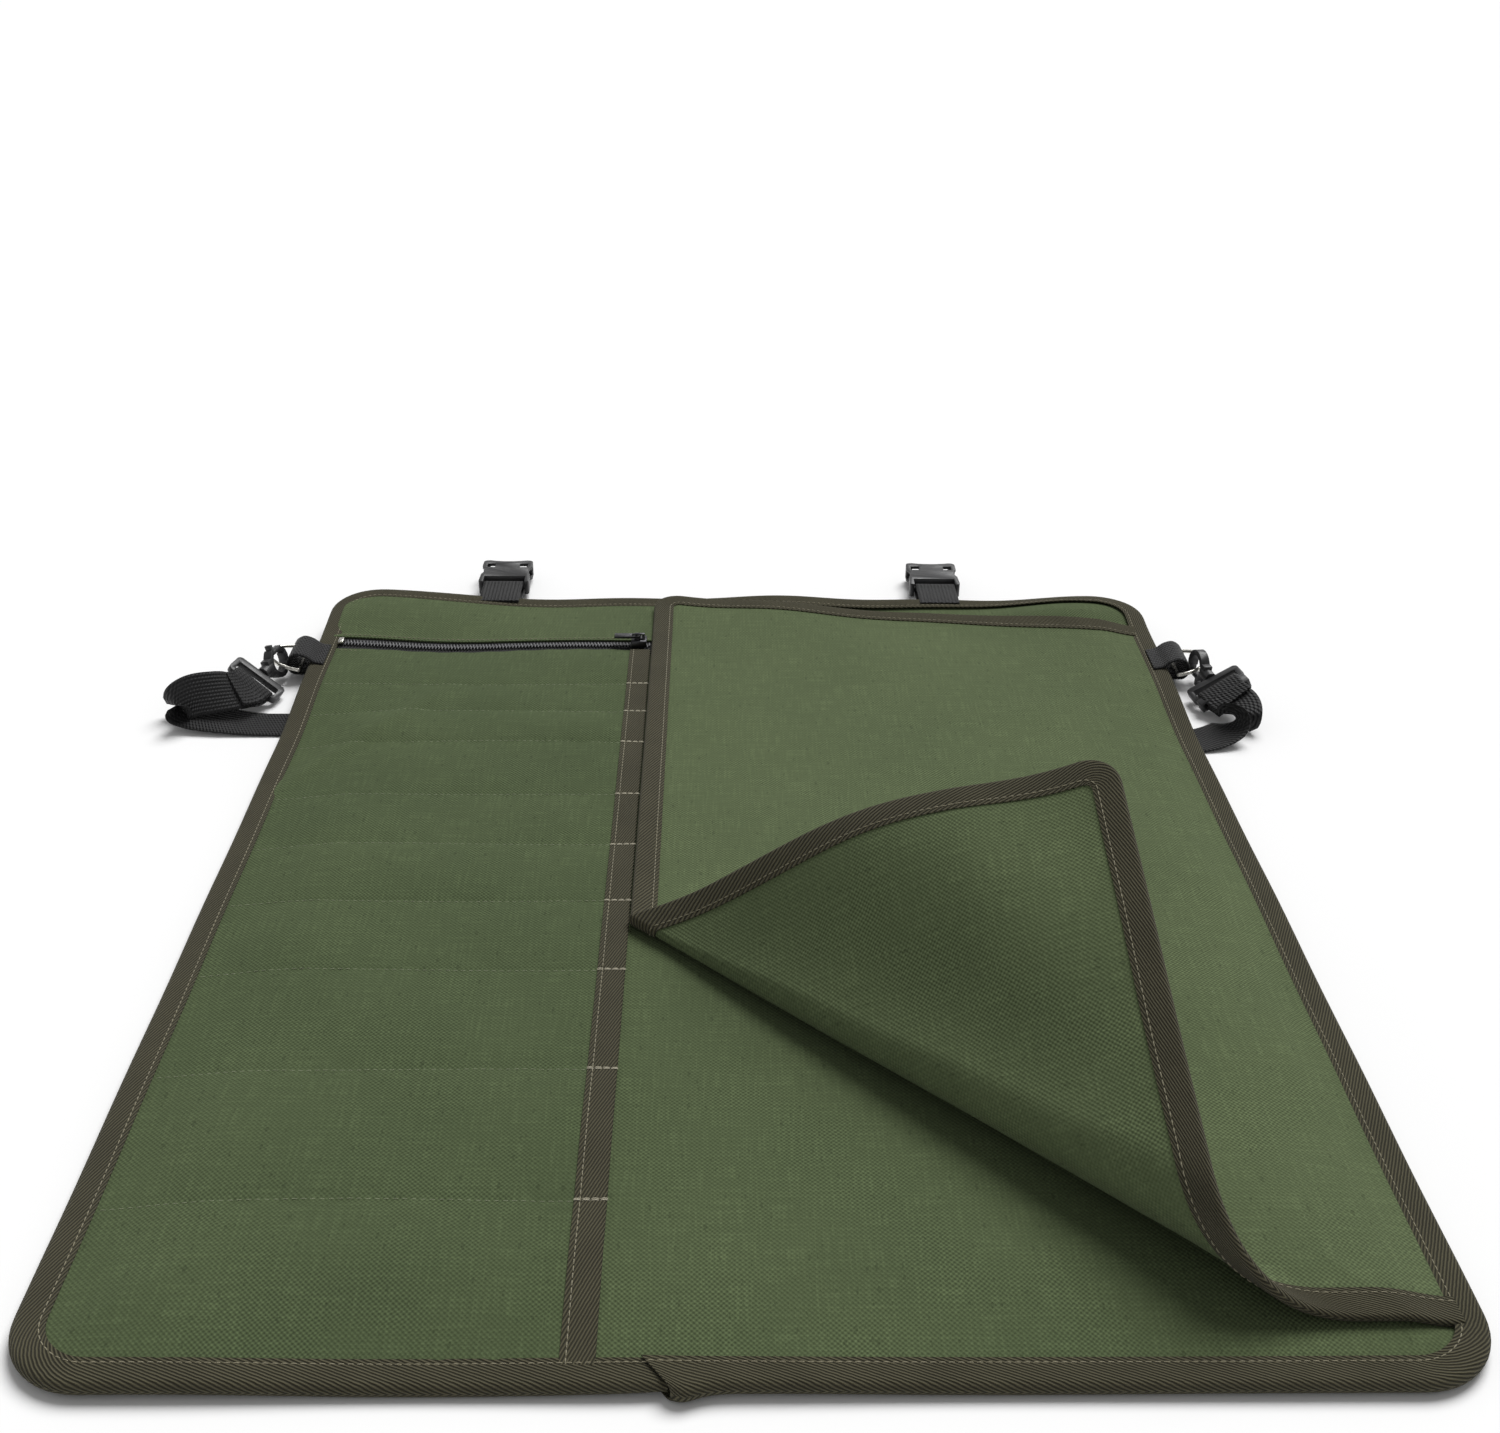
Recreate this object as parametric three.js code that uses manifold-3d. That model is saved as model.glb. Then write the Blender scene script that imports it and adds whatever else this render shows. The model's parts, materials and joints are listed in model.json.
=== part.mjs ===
// A carving tool roll laid out flat: a bound canvas sheet with a row of tool pockets and a zipped
// pocket on the left, a cover flap sewn along the right edge with its front corner folded back,
// two side-release buckles for tying the roll up, and a shoulder strap clipped to two D-rings.
// Millimetres, +X to the right, +Y away from the user, +Z up.
import * as THREE from 'three';
import { mergeVertices } from 'three/addons/utils/BufferGeometryUtils.js';
import Module from 'manifold-3d';

const wasm = await Module();
wasm.setup();

// ---- Driving dimensions ----------------------------------------------------------------------

const WIDTH = 500;              // sheet, left to right
const DEPTH = 614;              // sheet, front to back
const CORNER_R = 30;            // sheet's corner radius
const GAP = 0.3;                // clearance between neighbouring pieces

const UNDER_Z = 6.5;            // underside of the sheet, over the straps that lie beneath it
const SHEET_T = 2;              // two layers of canvas
const CLOTH_T = 1;              // one layer of canvas
const TAPE_T = 0.6;             // binding tape
const TAPE_W = 12;              // binding's width on each side of an edge
const SHEET_INSET = 3;          // sheet's raw edge inside the folded binding

const WEB_W = 25;               // webbing
const WEB_T = 1.5;

const POCKET_MOUTH_X = -53;     // open right-hand ends of the tool pockets
const POCKET_SEAMS = [-226, -153, -86, -33, 16, 63, 118, 153, 186];
const POCKET_TOP = 230;         // pocket panel's top edge, at the zip
const POCKET_CROWN = 5;         // how far a pocket stands off the sheet
const POCKET_SLOPE = 7;         // width of a pocket's side slopes
const SEAM_HALF = 1.5;          // half the flat land at a sewn seam

const ZIP_Y = 238;              // middle of the zip
const ZIP_HALF = 7;             // half the width of tape that shows
const COIL_W = 2.8;
const COIL_H = 2.2;
const SLIDER_LENGTH = 9;
const SLIDER_X = -60;           // slider's middle, at the closed end
const PULL_LENGTH = 15;

const FLAP_LEFT = -52.5;
const FLAP_RIGHT = 236.5;
const FLAP_FRONT = -282;
const FLAP_BACK_LEFT = 303;
const FLAP_BACK_RIGHT = 265;
const FLAP_T = 1.5;
const FLAP_CORNER_R = 16;
const FLAP_Z = 11.45;           // middle of the flap's thickness

// The folded corner is a developable cone: rulings fan out of an apex just left of the flap's edge.
const FOLD_APEX = new THREE.Vector2(-55, -48.6);
const FOLD_START = THREE.MathUtils.degToRad(-41.6);     // heading of the first ruling
const FOLD_SECTOR = THREE.MathUtils.degToRad(10.4);     // flat angle that the bend takes up
const FOLD_TURN = THREE.MathUtils.degToRad(142.7);      // how far the corner turns over
const FOLD_INNER_R = 34;        // the bend starts this far from the apex

const SOCKET_XS = { left: -150, right: 126 };
const SOCKET_LENGTH = 34;
const SOCKET_WIDTH = 32;
const SOCKET_H = 9;
const SOCKET_WAIST = 2;         // how far each side curves in
const SOCKET_CAVITY_H = 5;
const SOCKET_CAVITY_HALF = 12;
const SOCKET_BAR_Y = 329;       // middle of the bar that the webbing tab holds
const SOCKET_Z = 7.5;
const BAR_R = 1.7;

const RING_Y = 220;             // D-ring's middle
const RING_BAR_X = 255;         // middle of its straight bar, from the sheet's middle
const RING_REACH = 19;          // bow's furthest point from the bar
const RING_HALF = 14.6;         // half the length of the bar
const RING_WIRE_R = 1.4;
const RING_Z = 8.5;
const RING_LIFT = 12;           // degrees that a D-ring is raised about its bar

const HOOK_T = 5;
const HOOK_JAW_R = 9.6;
const HOOK_HOLE_R = 6.5;
const HOOK_NECK_HALF = 5;       // half the width of the neck between jaw and barrel
const BARREL_R = 3.6;           // swivel's barrel
const BARREL_LENGTH = 9;
const BARREL_X = 13;            // barrel's middle, from the middle of the jaw
const JAW_MOUTH = [-7.4, 4.2];  // opening in the jaw's side, that the gate closes
const JAW_MOUTH_Y = -2.2;
const GATE_BAR = [-7.2, -4.9];  // gate's front and back faces
const GATE_THUMB = 3.8;         // thumb piece's height over the gate
const EYE_AT = 26;              // eye's slot, from the middle of the jaw
const EYE_NEAR = 18.2;          // eye's ends
const EYE_FAR = 32;
const EYE_RIM = 3.5;            // eye's frame on each side of the webbing

const ADJUSTER_AT = 0.975;      // adjuster's place, as a share of the strap's length
const ADJUSTER_HALF_L = 3;
const ADJUSTER_HALF_H = 3;
const ADJUSTER_RIM = 3;         // frame on each side of the webbing
const ADJUSTER_SLOT_H = 3.2;

const CLOSURE_STRAP_BACK = 118;
const CLOSURE_STRAP_FRONT = -150;

// ---- Materials -------------------------------------------------------------------------------

function cloth(color) {
  return new THREE.MeshStandardMaterial({ color, roughness: 0.95, metalness: 0 });
}

function plastic(color) {
  return new THREE.MeshStandardMaterial({ color, roughness: 0.5, metalness: 0 });
}

function metal(color) {
  return new THREE.MeshStandardMaterial({ color, roughness: 0.3, metalness: 1 });
}

const LOOKS = {
  canvas: () => cloth(0x545e45),
  binding: () => cloth(0x4a493a),
  webbing: () => cloth(0x212121),
  zip: () => cloth(0x1c1c1c),
  plastic: () => plastic(0x3c3c3c),
  steel: () => metal(0xc8c8c4),
};

// ---- Helpers ---------------------------------------------------------------------------------

const roll = new THREE.Group();

function add(name, geometry, look, parent = roll) {
  const mesh = new THREE.Mesh(geometry, LOOKS[look]());
  mesh.name = name;
  parent.add(mesh);
  return mesh;
}

function vec(x, y, z) {
  return new THREE.Vector3(x, y, z);
}

function roundedRect(x0, y0, x1, y1, r) {
  const shape = new THREE.Shape();
  shape.moveTo(x0 + r, y0);
  shape.lineTo(x1 - r, y0);
  shape.absarc(x1 - r, y0 + r, r, -Math.PI / 2, 0);
  shape.lineTo(x1, y1 - r);
  shape.absarc(x1 - r, y1 - r, r, 0, Math.PI / 2);
  shape.lineTo(x0 + r, y1);
  shape.absarc(x0 + r, y1 - r, r, Math.PI / 2, Math.PI);
  shape.lineTo(x0, y0 + r);
  shape.absarc(x0 + r, y0 + r, r, Math.PI, 1.5 * Math.PI);
  return shape;
}

function polygon(points) {
  return new THREE.Shape(points.map(([x, y]) => new THREE.Vector2(x, y)));
}

// A flat plate with the given outline, from z0 up to z1.
function plate(shape, z0, z1, curveSegments = 6) {
  const options = { depth: z1 - z0, bevelEnabled: false, curveSegments };
  return new THREE.ExtrudeGeometry(shape, options).translate(0, 0, z0);
}

// An outline drawn in Y and Z, run along X from x0 to x1.
function alongX(shape, x0, x1, curveSegments = 6) {
  const turn = new THREE.Matrix4().makeBasis(vec(0, 1, 0), vec(0, 0, 1), vec(1, 0, 0));
  return plate(shape, x0, x1, curveSegments).applyMatrix4(turn);
}

// An outline drawn in X and Z, run along Y from y0 to y1.
function alongY(shape, y0, y1, curveSegments = 6) {
  const turn = new THREE.Matrix4().makeBasis(vec(1, 0, 0), vec(0, 0, 1), vec(0, -1, 0));
  return plate(shape, -y1, -y0, curveSegments).applyMatrix4(turn);
}

function block(x0, x1, y0, y1, z0, z1) {
  const box = new THREE.BoxGeometry(x1 - x0, y1 - y0, z1 - z0);
  return box.translate((x0 + x1) / 2, (y0 + y1) / 2, (z0 + z1) / 2);
}

function toSolid(geometry) {
  const bare = geometry.clone();
  bare.deleteAttribute('normal');
  bare.deleteAttribute('uv');
  const merged = mergeVertices(bare, 1e-4);
  return new wasm.Manifold(new wasm.Mesh({
    numProp: 3,
    vertProperties: new Float32Array(merged.attributes.position.array),
    triVerts: new Uint32Array(merged.index.array),
  }));
}

function toGeometry(solid) {
  const mesh = solid.getMesh();
  const geometry = new THREE.BufferGeometry();
  geometry.setAttribute('position', new THREE.BufferAttribute(mesh.vertProperties, 3));
  geometry.setIndex(new THREE.BufferAttribute(mesh.triVerts, 1));
  geometry.computeVertexNormals();
  return geometry;
}

function cut(geometry, ...tools) {
  let solid = toSolid(geometry);
  for (const tool of tools) {
    solid = solid.subtract(toSolid(tool));
  }
  return toGeometry(solid);
}

function join(...geometries) {
  let solid = toSolid(geometries[0]);
  for (const other of geometries.slice(1)) {
    solid = solid.add(toSolid(other));
  }
  return toGeometry(solid);
}

// Turns the triangles over where a bent solid came out with its faces pointing in.
function facingOut(geometry) {
  const position = geometry.attributes.position;
  const index = geometry.index.array;
  const corner = (i) => new THREE.Vector3().fromBufferAttribute(position, index[i]);
  let volume = 0;
  for (let i = 0; i < index.length; i += 3) {
    volume += corner(i).dot(corner(i + 1).cross(corner(i + 2)));
  }
  if (volume < 0) {
    for (let i = 0; i < index.length; i += 3) {
      [index[i], index[i + 1]] = [index[i + 1], index[i]];
    }
  }
  geometry.computeVertexNormals();
  return geometry;
}

// A box whose three directions, each running 0 to 1, are bent into place by a function.
function bent(stepsU, stepsV, place) {
  const geometry = new THREE.BoxGeometry(1, 1, 1, stepsU, stepsV, 1);
  const position = geometry.attributes.position;
  for (let i = 0; i < position.count; i += 1) {
    const p = place(position.getX(i) + 0.5, position.getY(i) + 0.5, position.getZ(i) + 0.5);
    position.setXYZ(i, p.x, p.y, p.z);
  }
  return facingOut(geometry);
}

// Round wire bent into a flat closed loop: pointAt gives the loop's point for an angle in turns.
function wireLoop(pointAt, wireR, steps, sides) {
  const geometry = new THREE.TorusGeometry(1, 0.5, sides, steps);
  const position = geometry.attributes.position;
  for (let i = 0; i < position.count; i += 1) {
    const x = position.getX(i);
    const y = position.getY(i);
    const turn = Math.round(Math.atan2(y, x) / (2 * Math.PI) * steps) / steps;
    const here = pointAt(turn);
    const ahead = pointAt(turn + 0.5 / steps);
    const behind = pointAt(turn - 0.5 / steps);
    const outward = new THREE.Vector2(ahead.y - behind.y, behind.x - ahead.x).normalize();
    const reach = (Math.hypot(x, y) - 1) * 2 * wireR;
    const lift = position.getZ(i) * 2 * wireR;
    position.setXYZ(i, here.x + outward.x * reach, here.y + outward.y * reach, lift);
  }
  return facingOut(geometry);
}

// ---- Base sheet and its binding --------------------------------------------------------------

function sheetOutline(inset) {
  const x = WIDTH / 2 - inset;
  const y = DEPTH / 2 - inset;
  return roundedRect(-x, -y, x, y, CORNER_R - inset);
}

const SHEET_TOP = UNDER_Z + SHEET_T;
const BINDING_LOW = UNDER_Z - GAP - TAPE_T;
const BINDING_HIGH = SHEET_TOP + GAP + TAPE_T;

add('base_panel', plate(sheetOutline(SHEET_INSET), UNDER_Z, SHEET_TOP), 'canvas');
add('edge_binding', cut(
  plate(sheetOutline(0), BINDING_LOW, BINDING_HIGH),
  plate(sheetOutline(TAPE_W), BINDING_LOW - 1, BINDING_HIGH + 1),
  plate(sheetOutline(SHEET_INSET - GAP), UNDER_Z - GAP, SHEET_TOP + GAP),
), 'binding');

// ---- Tool pockets: one panel sewn down at the seams, standing off the sheet between them ------

const MOUTH_LOW = SHEET_TOP + GAP;
const POCKET_LOW = MOUTH_LOW + TAPE_T + GAP;
const POCKET_HIGH = POCKET_LOW + CLOTH_T;
const MOUTH_HIGH = POCKET_HIGH + GAP + TAPE_T;
const INNER_LEFT = -WIDTH / 2 + TAPE_W + GAP;
const INNER_FRONT = -DEPTH / 2 + TAPE_W + GAP;
const INNER_BACK = DEPTH / 2 - TAPE_W - GAP;
const POCKET_EDGES = [INNER_FRONT, ...POCKET_SEAMS, POCKET_TOP];

function pocketWave() {
  const wave = [];
  for (let i = 0; i + 1 < POCKET_EDGES.length; i += 1) {
    const front = POCKET_EDGES[i] + (i === 0 ? 0 : SEAM_HALF);
    const last = i + 2 === POCKET_EDGES.length;
    const back = POCKET_EDGES[i + 1] - (last ? 0 : SEAM_HALF);
    wave.push([front, 0], [front + POCKET_SLOPE, POCKET_CROWN]);
    wave.push([back - POCKET_SLOPE, POCKET_CROWN], [back, 0]);
  }
  return wave;
}

function pocketCloth(x0, x1, z0, z1) {
  const wave = pocketWave();
  const under = wave.map(([y, rise]) => [y, z0 + rise]);
  const over = wave.map(([y, rise]) => [y, z1 + rise]).reverse();
  return alongX(polygon([...under, ...over]), x0, x1);
}

// The panel's left edge is turned down and sewn, which closes the pockets' blind ends.
function pocketEnds(x0, x1) {
  const over = pocketWave().map(([y, rise]) => [y, POCKET_LOW + rise + CLOTH_T / 2]).reverse();
  const foot = [[INNER_FRONT + CORNER_R, MOUTH_LOW], [POCKET_TOP, MOUTH_LOW]];
  return alongX(polygon([...foot, ...over]), x0, x1);
}

add('pocket_panel', join(
  pocketCloth(INNER_LEFT, POCKET_MOUTH_X - TAPE_T - GAP, POCKET_LOW, POCKET_HIGH),
  pocketEnds(INNER_LEFT, INNER_LEFT + CLOTH_T),
), 'canvas');
const MOUTH_INNER_X = POCKET_MOUTH_X - TAPE_W;
add('pocket_mouth_binding', cut(
  pocketCloth(MOUTH_INNER_X, POCKET_MOUTH_X, MOUTH_LOW, MOUTH_HIGH),
  pocketCloth(MOUTH_INNER_X - 1, POCKET_MOUTH_X - TAPE_T, POCKET_LOW - GAP, POCKET_HIGH + GAP),
), 'binding');

// ---- Zipped pocket along the back edge -------------------------------------------------------

const ZIP_FRONT = ZIP_Y - ZIP_HALF;
const ZIP_BACK = ZIP_Y + ZIP_HALF;
const ZIP_LEFT = INNER_LEFT;
const ZIP_RIGHT = POCKET_MOUTH_X - 0.5;
const TAPE_TOP = POCKET_LOW + TAPE_T;
const COIL_LOW = TAPE_TOP + GAP;

add('zip_pocket_panel',
  block(ZIP_LEFT, ZIP_RIGHT, ZIP_BACK + GAP, INNER_BACK, POCKET_LOW, POCKET_HIGH), 'canvas');
add('zip_tape_front',
  block(ZIP_LEFT, ZIP_RIGHT, ZIP_FRONT, ZIP_Y - GAP / 2, POCKET_LOW, TAPE_TOP), 'zip');
add('zip_tape_back',
  block(ZIP_LEFT, ZIP_RIGHT, ZIP_Y + GAP / 2, ZIP_BACK, POCKET_LOW, TAPE_TOP), 'zip');

function coilSection(y0) {
  const edge = COIL_W / 4;
  return polygon([
    [y0 + edge, COIL_LOW], [y0 + COIL_W - edge, COIL_LOW], [y0 + COIL_W, COIL_LOW + edge],
    [y0 + COIL_W, COIL_LOW + COIL_H - edge], [y0 + COIL_W - edge, COIL_LOW + COIL_H],
    [y0 + edge, COIL_LOW + COIL_H], [y0, COIL_LOW + COIL_H - edge], [y0, COIL_LOW + edge],
  ]);
}

const STOP_LENGTH = 3;
const COIL_LEFT = ZIP_LEFT + STOP_LENGTH + GAP;
add('zip_coil_front', alongX(coilSection(ZIP_Y - GAP / 2 - COIL_W), COIL_LEFT, ZIP_RIGHT), 'zip');
add('zip_coil_back', alongX(coilSection(ZIP_Y + GAP / 2), COIL_LEFT, ZIP_RIGHT), 'zip');
add('zip_end_stop',
  block(ZIP_LEFT, ZIP_LEFT + STOP_LENGTH, ZIP_Y - COIL_W, ZIP_Y + COIL_W, COIL_LOW, COIL_LOW + COIL_H),
  'steel');

const SLIDER_WALL = 1;
const SLIDER_ROOF_T = 1.2;
const SLIDER_IN = COIL_W + GAP / 2 + 0.4;
const SLIDER_OUT = SLIDER_IN + SLIDER_WALL;
const SLIDER_LOW = TAPE_TOP + 0.2;
const SLIDER_ROOF = COIL_LOW + COIL_H + 0.4;
const SLIDER_HIGH = SLIDER_ROOF + SLIDER_ROOF_T;
const LUG_H = 3.4;
const LUG_HALF_L = 3;           // half the lug's length along the zip
const LUG_HALF_T = 1;
const LUG_HOLE_HALF = 1.5;
const LUG_HOLE = [0.5, 2.7];    // hole's bottom and top, above the slider's back
const LUG_X = SLIDER_X + 0.5;
const PULL_PIN_Z = SLIDER_HIGH + 1.7;

add('zip_slider', cut(
  join(
    block(SLIDER_X - SLIDER_LENGTH / 2, SLIDER_X + SLIDER_LENGTH / 2,
      ZIP_Y - SLIDER_OUT, ZIP_Y + SLIDER_OUT, SLIDER_LOW, SLIDER_HIGH),
    block(LUG_X - LUG_HALF_L, LUG_X + LUG_HALF_L, ZIP_Y - LUG_HALF_T, ZIP_Y + LUG_HALF_T,
      SLIDER_HIGH - 0.5, SLIDER_HIGH + LUG_H),
  ),
  block(SLIDER_X - SLIDER_LENGTH, SLIDER_X + SLIDER_LENGTH,
    ZIP_Y - SLIDER_IN, ZIP_Y + SLIDER_IN, SLIDER_LOW - 1, SLIDER_ROOF),
  block(LUG_X - LUG_HOLE_HALF, LUG_X + LUG_HOLE_HALF, ZIP_Y - 2 * LUG_HALF_T, ZIP_Y + 2 * LUG_HALF_T,
    SLIDER_HIGH + LUG_HOLE[0], SLIDER_HIGH + LUG_HOLE[1]),
), 'steel');

// The pull tab's cross bar passes through the slider's lug, and the tab lies back over the coils.
const PULL_HALF = 2.6;
const PULL_T = 1.2;
const PULL_EYE_HALF = 1.4;      // half the width of the opening round the lug
const PULL_LOW = PULL_PIN_Z - PULL_T / 2;
const PULL_END = LUG_X + PULL_T / 2;
add('zip_pull', cut(
  block(LUG_X - PULL_LENGTH, PULL_END, ZIP_Y - PULL_HALF, ZIP_Y + PULL_HALF, PULL_LOW, PULL_LOW + PULL_T),
  block(LUG_X - 4.6, PULL_END - PULL_T, ZIP_Y - PULL_EYE_HALF, ZIP_Y + PULL_EYE_HALF,
    PULL_LOW - 1, PULL_LOW + 3),
), 'steel');

// ---- Cover flap ------------------------------------------------------------------------------

const FLAP_LOW = FLAP_Z - FLAP_T / 2;
const FLAP_HIGH = FLAP_Z + FLAP_T / 2;
const FLAP_BIND_LOW = FLAP_LOW - GAP - TAPE_T;
const FLAP_BIND_HIGH = FLAP_HIGH + GAP + TAPE_T;
const FLAP_BIND_END = FLAP_RIGHT - 1.5;
const FOLD_HALF_ANGLE = Math.asin(FOLD_SECTOR / FOLD_TURN);
const RULING = vec(Math.cos(FOLD_START), Math.sin(FOLD_START), 0);
const UP = vec(0, 0, 1);
const CONE_AXIS = RULING.clone().multiplyScalar(Math.cos(FOLD_HALF_ANGLE))
  .addScaledVector(UP, Math.sin(FOLD_HALF_ANGLE));
const APEX = vec(FOLD_APEX.x, FOLD_APEX.y, FLAP_Z);

// Where a point of the flat flap goes when the corner is folded; lift is its height above mid cloth.
function folded(x, y, lift) {
  const flat = vec(x - FOLD_APEX.x, y - FOLD_APEX.y, 0);
  const past = FOLD_START - Math.atan2(flat.y, flat.x);
  if (past <= 0) {
    return vec(x, y, FLAP_Z + lift);
  }
  const inBend = Math.min(past, FOLD_SECTOR);
  flat.applyAxisAngle(UP, inBend);
  flat.z = lift;
  return flat.applyAxisAngle(CONE_AXIS, -inBend / FOLD_SECTOR * FOLD_TURN).add(APEX);
}

// The front edge's x where a ruling past the first by the given angle meets a line of constant y.
function rulingX(past, y) {
  return FOLD_APEX.x + (y - FOLD_APEX.y) / Math.tan(FOLD_START - past);
}

function backEdgeY(x) {
  const t = (x - FLAP_LEFT) / (FLAP_RIGHT - FLAP_LEFT);
  return FLAP_BACK_LEFT + t * (FLAP_BACK_RIGHT - FLAP_BACK_LEFT);
}

// The part of the flap that lies flat: all but the corner in front of the first ruling.
function lyingOutline(inset, trim) {
  const left = FLAP_LEFT + inset;
  const front = FLAP_FRONT + inset;
  const slipX = trim / Math.abs(Math.sin(FOLD_START));
  const shape = new THREE.Shape();
  shape.moveTo(rulingX(0, front) + slipX, front);
  shape.lineTo(FLAP_RIGHT - trim, front);
  shape.lineTo(FLAP_RIGHT - trim, backEdgeY(FLAP_RIGHT) - inset);
  shape.lineTo(left + FLAP_CORNER_R, backEdgeY(left + FLAP_CORNER_R) - inset);
  shape.quadraticCurveTo(left, backEdgeY(left) - inset, left, backEdgeY(left) - inset - FLAP_CORNER_R);
  shape.lineTo(left, FOLD_APEX.y);
  shape.lineTo(left + slipX, FOLD_APEX.y + (left - FOLD_APEX.x) * Math.tan(FOLD_START));
  return shape;
}

add('flap_panel', plate(lyingOutline(TAPE_T + GAP, 0), FLAP_LOW, FLAP_HIGH), 'canvas');

const FLAP_INNER = lyingOutline(TAPE_W, -TAPE_W * 2);
const flapRim = cut(
  plate(lyingOutline(0, 0), FLAP_BIND_LOW, FLAP_BIND_HIGH),
  plate(FLAP_INNER, FLAP_BIND_LOW - 1, FLAP_BIND_HIGH + 1),
  plate(lyingOutline(TAPE_T, -GAP), FLAP_LOW - GAP, FLAP_HIGH + GAP),
);
const frontRimX = rulingX(0, FLAP_FRONT) - 1;
const restOfRim = block(FLAP_LEFT - 5, frontRimX, FLAP_FRONT - 5, FLAP_FRONT + TAPE_W + 5, 0, 40);
const frontRim = block(frontRimX, FLAP_RIGHT + 5, FLAP_FRONT - 5, FLAP_FRONT + TAPE_W + 1, 0, 40);
const rightRim = block(FLAP_BIND_END, FLAP_RIGHT + 30, FLAP_FRONT - 30, FLAP_BACK_LEFT + 30, 0, 40);
add('flap_edge_binding', cut(flapRim, restOfRim, frontRim, rightRim), 'binding');
add('flap_front_binding', toGeometry(
  toSolid(flapRim).intersect(toSolid(frontRim)).subtract(toSolid(rightRim)),
), 'binding');

// The bend itself, a cone's arc, with the binding round its front edge.
const FOLD_BODY_FRONT = FLAP_FRONT + TAPE_W + GAP;
const FOLD_TRIM = 0.0015;       // clears the lying flap and the turned corner, in radians

function foldStrip(nearR, frontEdge, backEdge, thickness) {
  return bent(14, 4, (u, v, w) => {
    const past = FOLD_TRIM + u * (FOLD_SECTOR - 2 * FOLD_TRIM);
    const heading = FOLD_START - past;
    const near = backEdge === null ? nearR : (backEdge - FOLD_APEX.y) / Math.sin(heading);
    const far = (frontEdge - FOLD_APEX.y) / Math.sin(heading);
    const reach = near + (1 - v) * (far - near);
    const x = FOLD_APEX.x + reach * Math.cos(heading);
    const y = FOLD_APEX.y + reach * Math.sin(heading);
    return folded(x, y, (w - 0.5) * thickness);
  });
}

const BIND_T = FLAP_BIND_HIGH - FLAP_BIND_LOW;
add('flap_fold', foldStrip(FOLD_INNER_R, FOLD_BODY_FRONT, null, FLAP_T), 'canvas');
add('flap_fold_binding', foldStrip(0, FLAP_FRONT, FLAP_FRONT + TAPE_W, BIND_T), 'binding');

// The corner past the bend is flat cloth turned over about the cone's axis.
function cornerOutline(inset, trim, rise = 0) {
  const left = FLAP_LEFT + inset;
  const front = FLAP_FRONT + inset;
  const radius = FLAP_CORNER_R - inset;
  const end = FOLD_START - FOLD_SECTOR;
  const slip = trim / Math.abs(Math.sin(end));
  const shape = new THREE.Shape();
  shape.moveTo(left + radius, front);
  shape.lineTo(rulingX(FOLD_SECTOR, front) - slip, front);
  shape.lineTo(FOLD_APEX.x + FOLD_INNER_R * Math.cos(end) - slip,
    FOLD_APEX.y + FOLD_INNER_R * Math.sin(end) + rise);
  shape.lineTo(left, FOLD_APEX.y - FOLD_INNER_R * 1.2 + rise);
  shape.lineTo(left, front + radius);
  shape.absarc(left + radius, front + radius, radius, Math.PI, 1.5 * Math.PI);
  return shape;
}

function turnedOver(geometry) {
  const position = geometry.attributes.position;
  for (let i = 0; i < position.count; i += 1) {
    const flat = vec(position.getX(i) - APEX.x, position.getY(i) - APEX.y, position.getZ(i) - APEX.z);
    flat.applyAxisAngle(UP, FOLD_SECTOR).applyAxisAngle(CONE_AXIS, -FOLD_TURN).add(APEX);
    position.setXYZ(i, flat.x, flat.y, flat.z);
  }
  geometry.computeVertexNormals();
  return geometry;
}

add('flap_corner', turnedOver(plate(cornerOutline(TAPE_T + GAP, 0.4), FLAP_LOW, FLAP_HIGH)), 'canvas');
add('flap_corner_binding', turnedOver(cut(
  plate(cornerOutline(0, 0.4), FLAP_BIND_LOW, FLAP_BIND_HIGH),
  plate(cornerOutline(TAPE_W, -TAPE_W * 4, TAPE_W * 2), FLAP_BIND_LOW - 1, FLAP_BIND_HIGH + 1),
  plate(cornerOutline(TAPE_T, -1, TAPE_W * 2), FLAP_LOW - GAP, FLAP_HIGH + GAP),
)), 'binding');

// ---- Folded webbing tabs ---------------------------------------------------------------------

// Outline of webbing folded round a bar at (far, mid), both layers running back to near.
function hairpin(near, far, mid, innerR, side = 1) {
  const outerR = innerR + WEB_T;
  const shape = new THREE.Shape();
  const half = Math.PI / 2;
  shape.moveTo(near, mid - outerR);
  shape.lineTo(far, mid - outerR);
  shape.absarc(far, mid, outerR, -half, half, side < 0);
  shape.lineTo(near, mid + outerR);
  shape.lineTo(near, mid + innerR);
  shape.lineTo(far, mid + innerR);
  shape.absarc(far, mid, innerR, half, -half, side > 0);
  shape.lineTo(near, mid - innerR);
  return shape;
}

// ---- Buckle sockets on the back edge ---------------------------------------------------------

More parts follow.
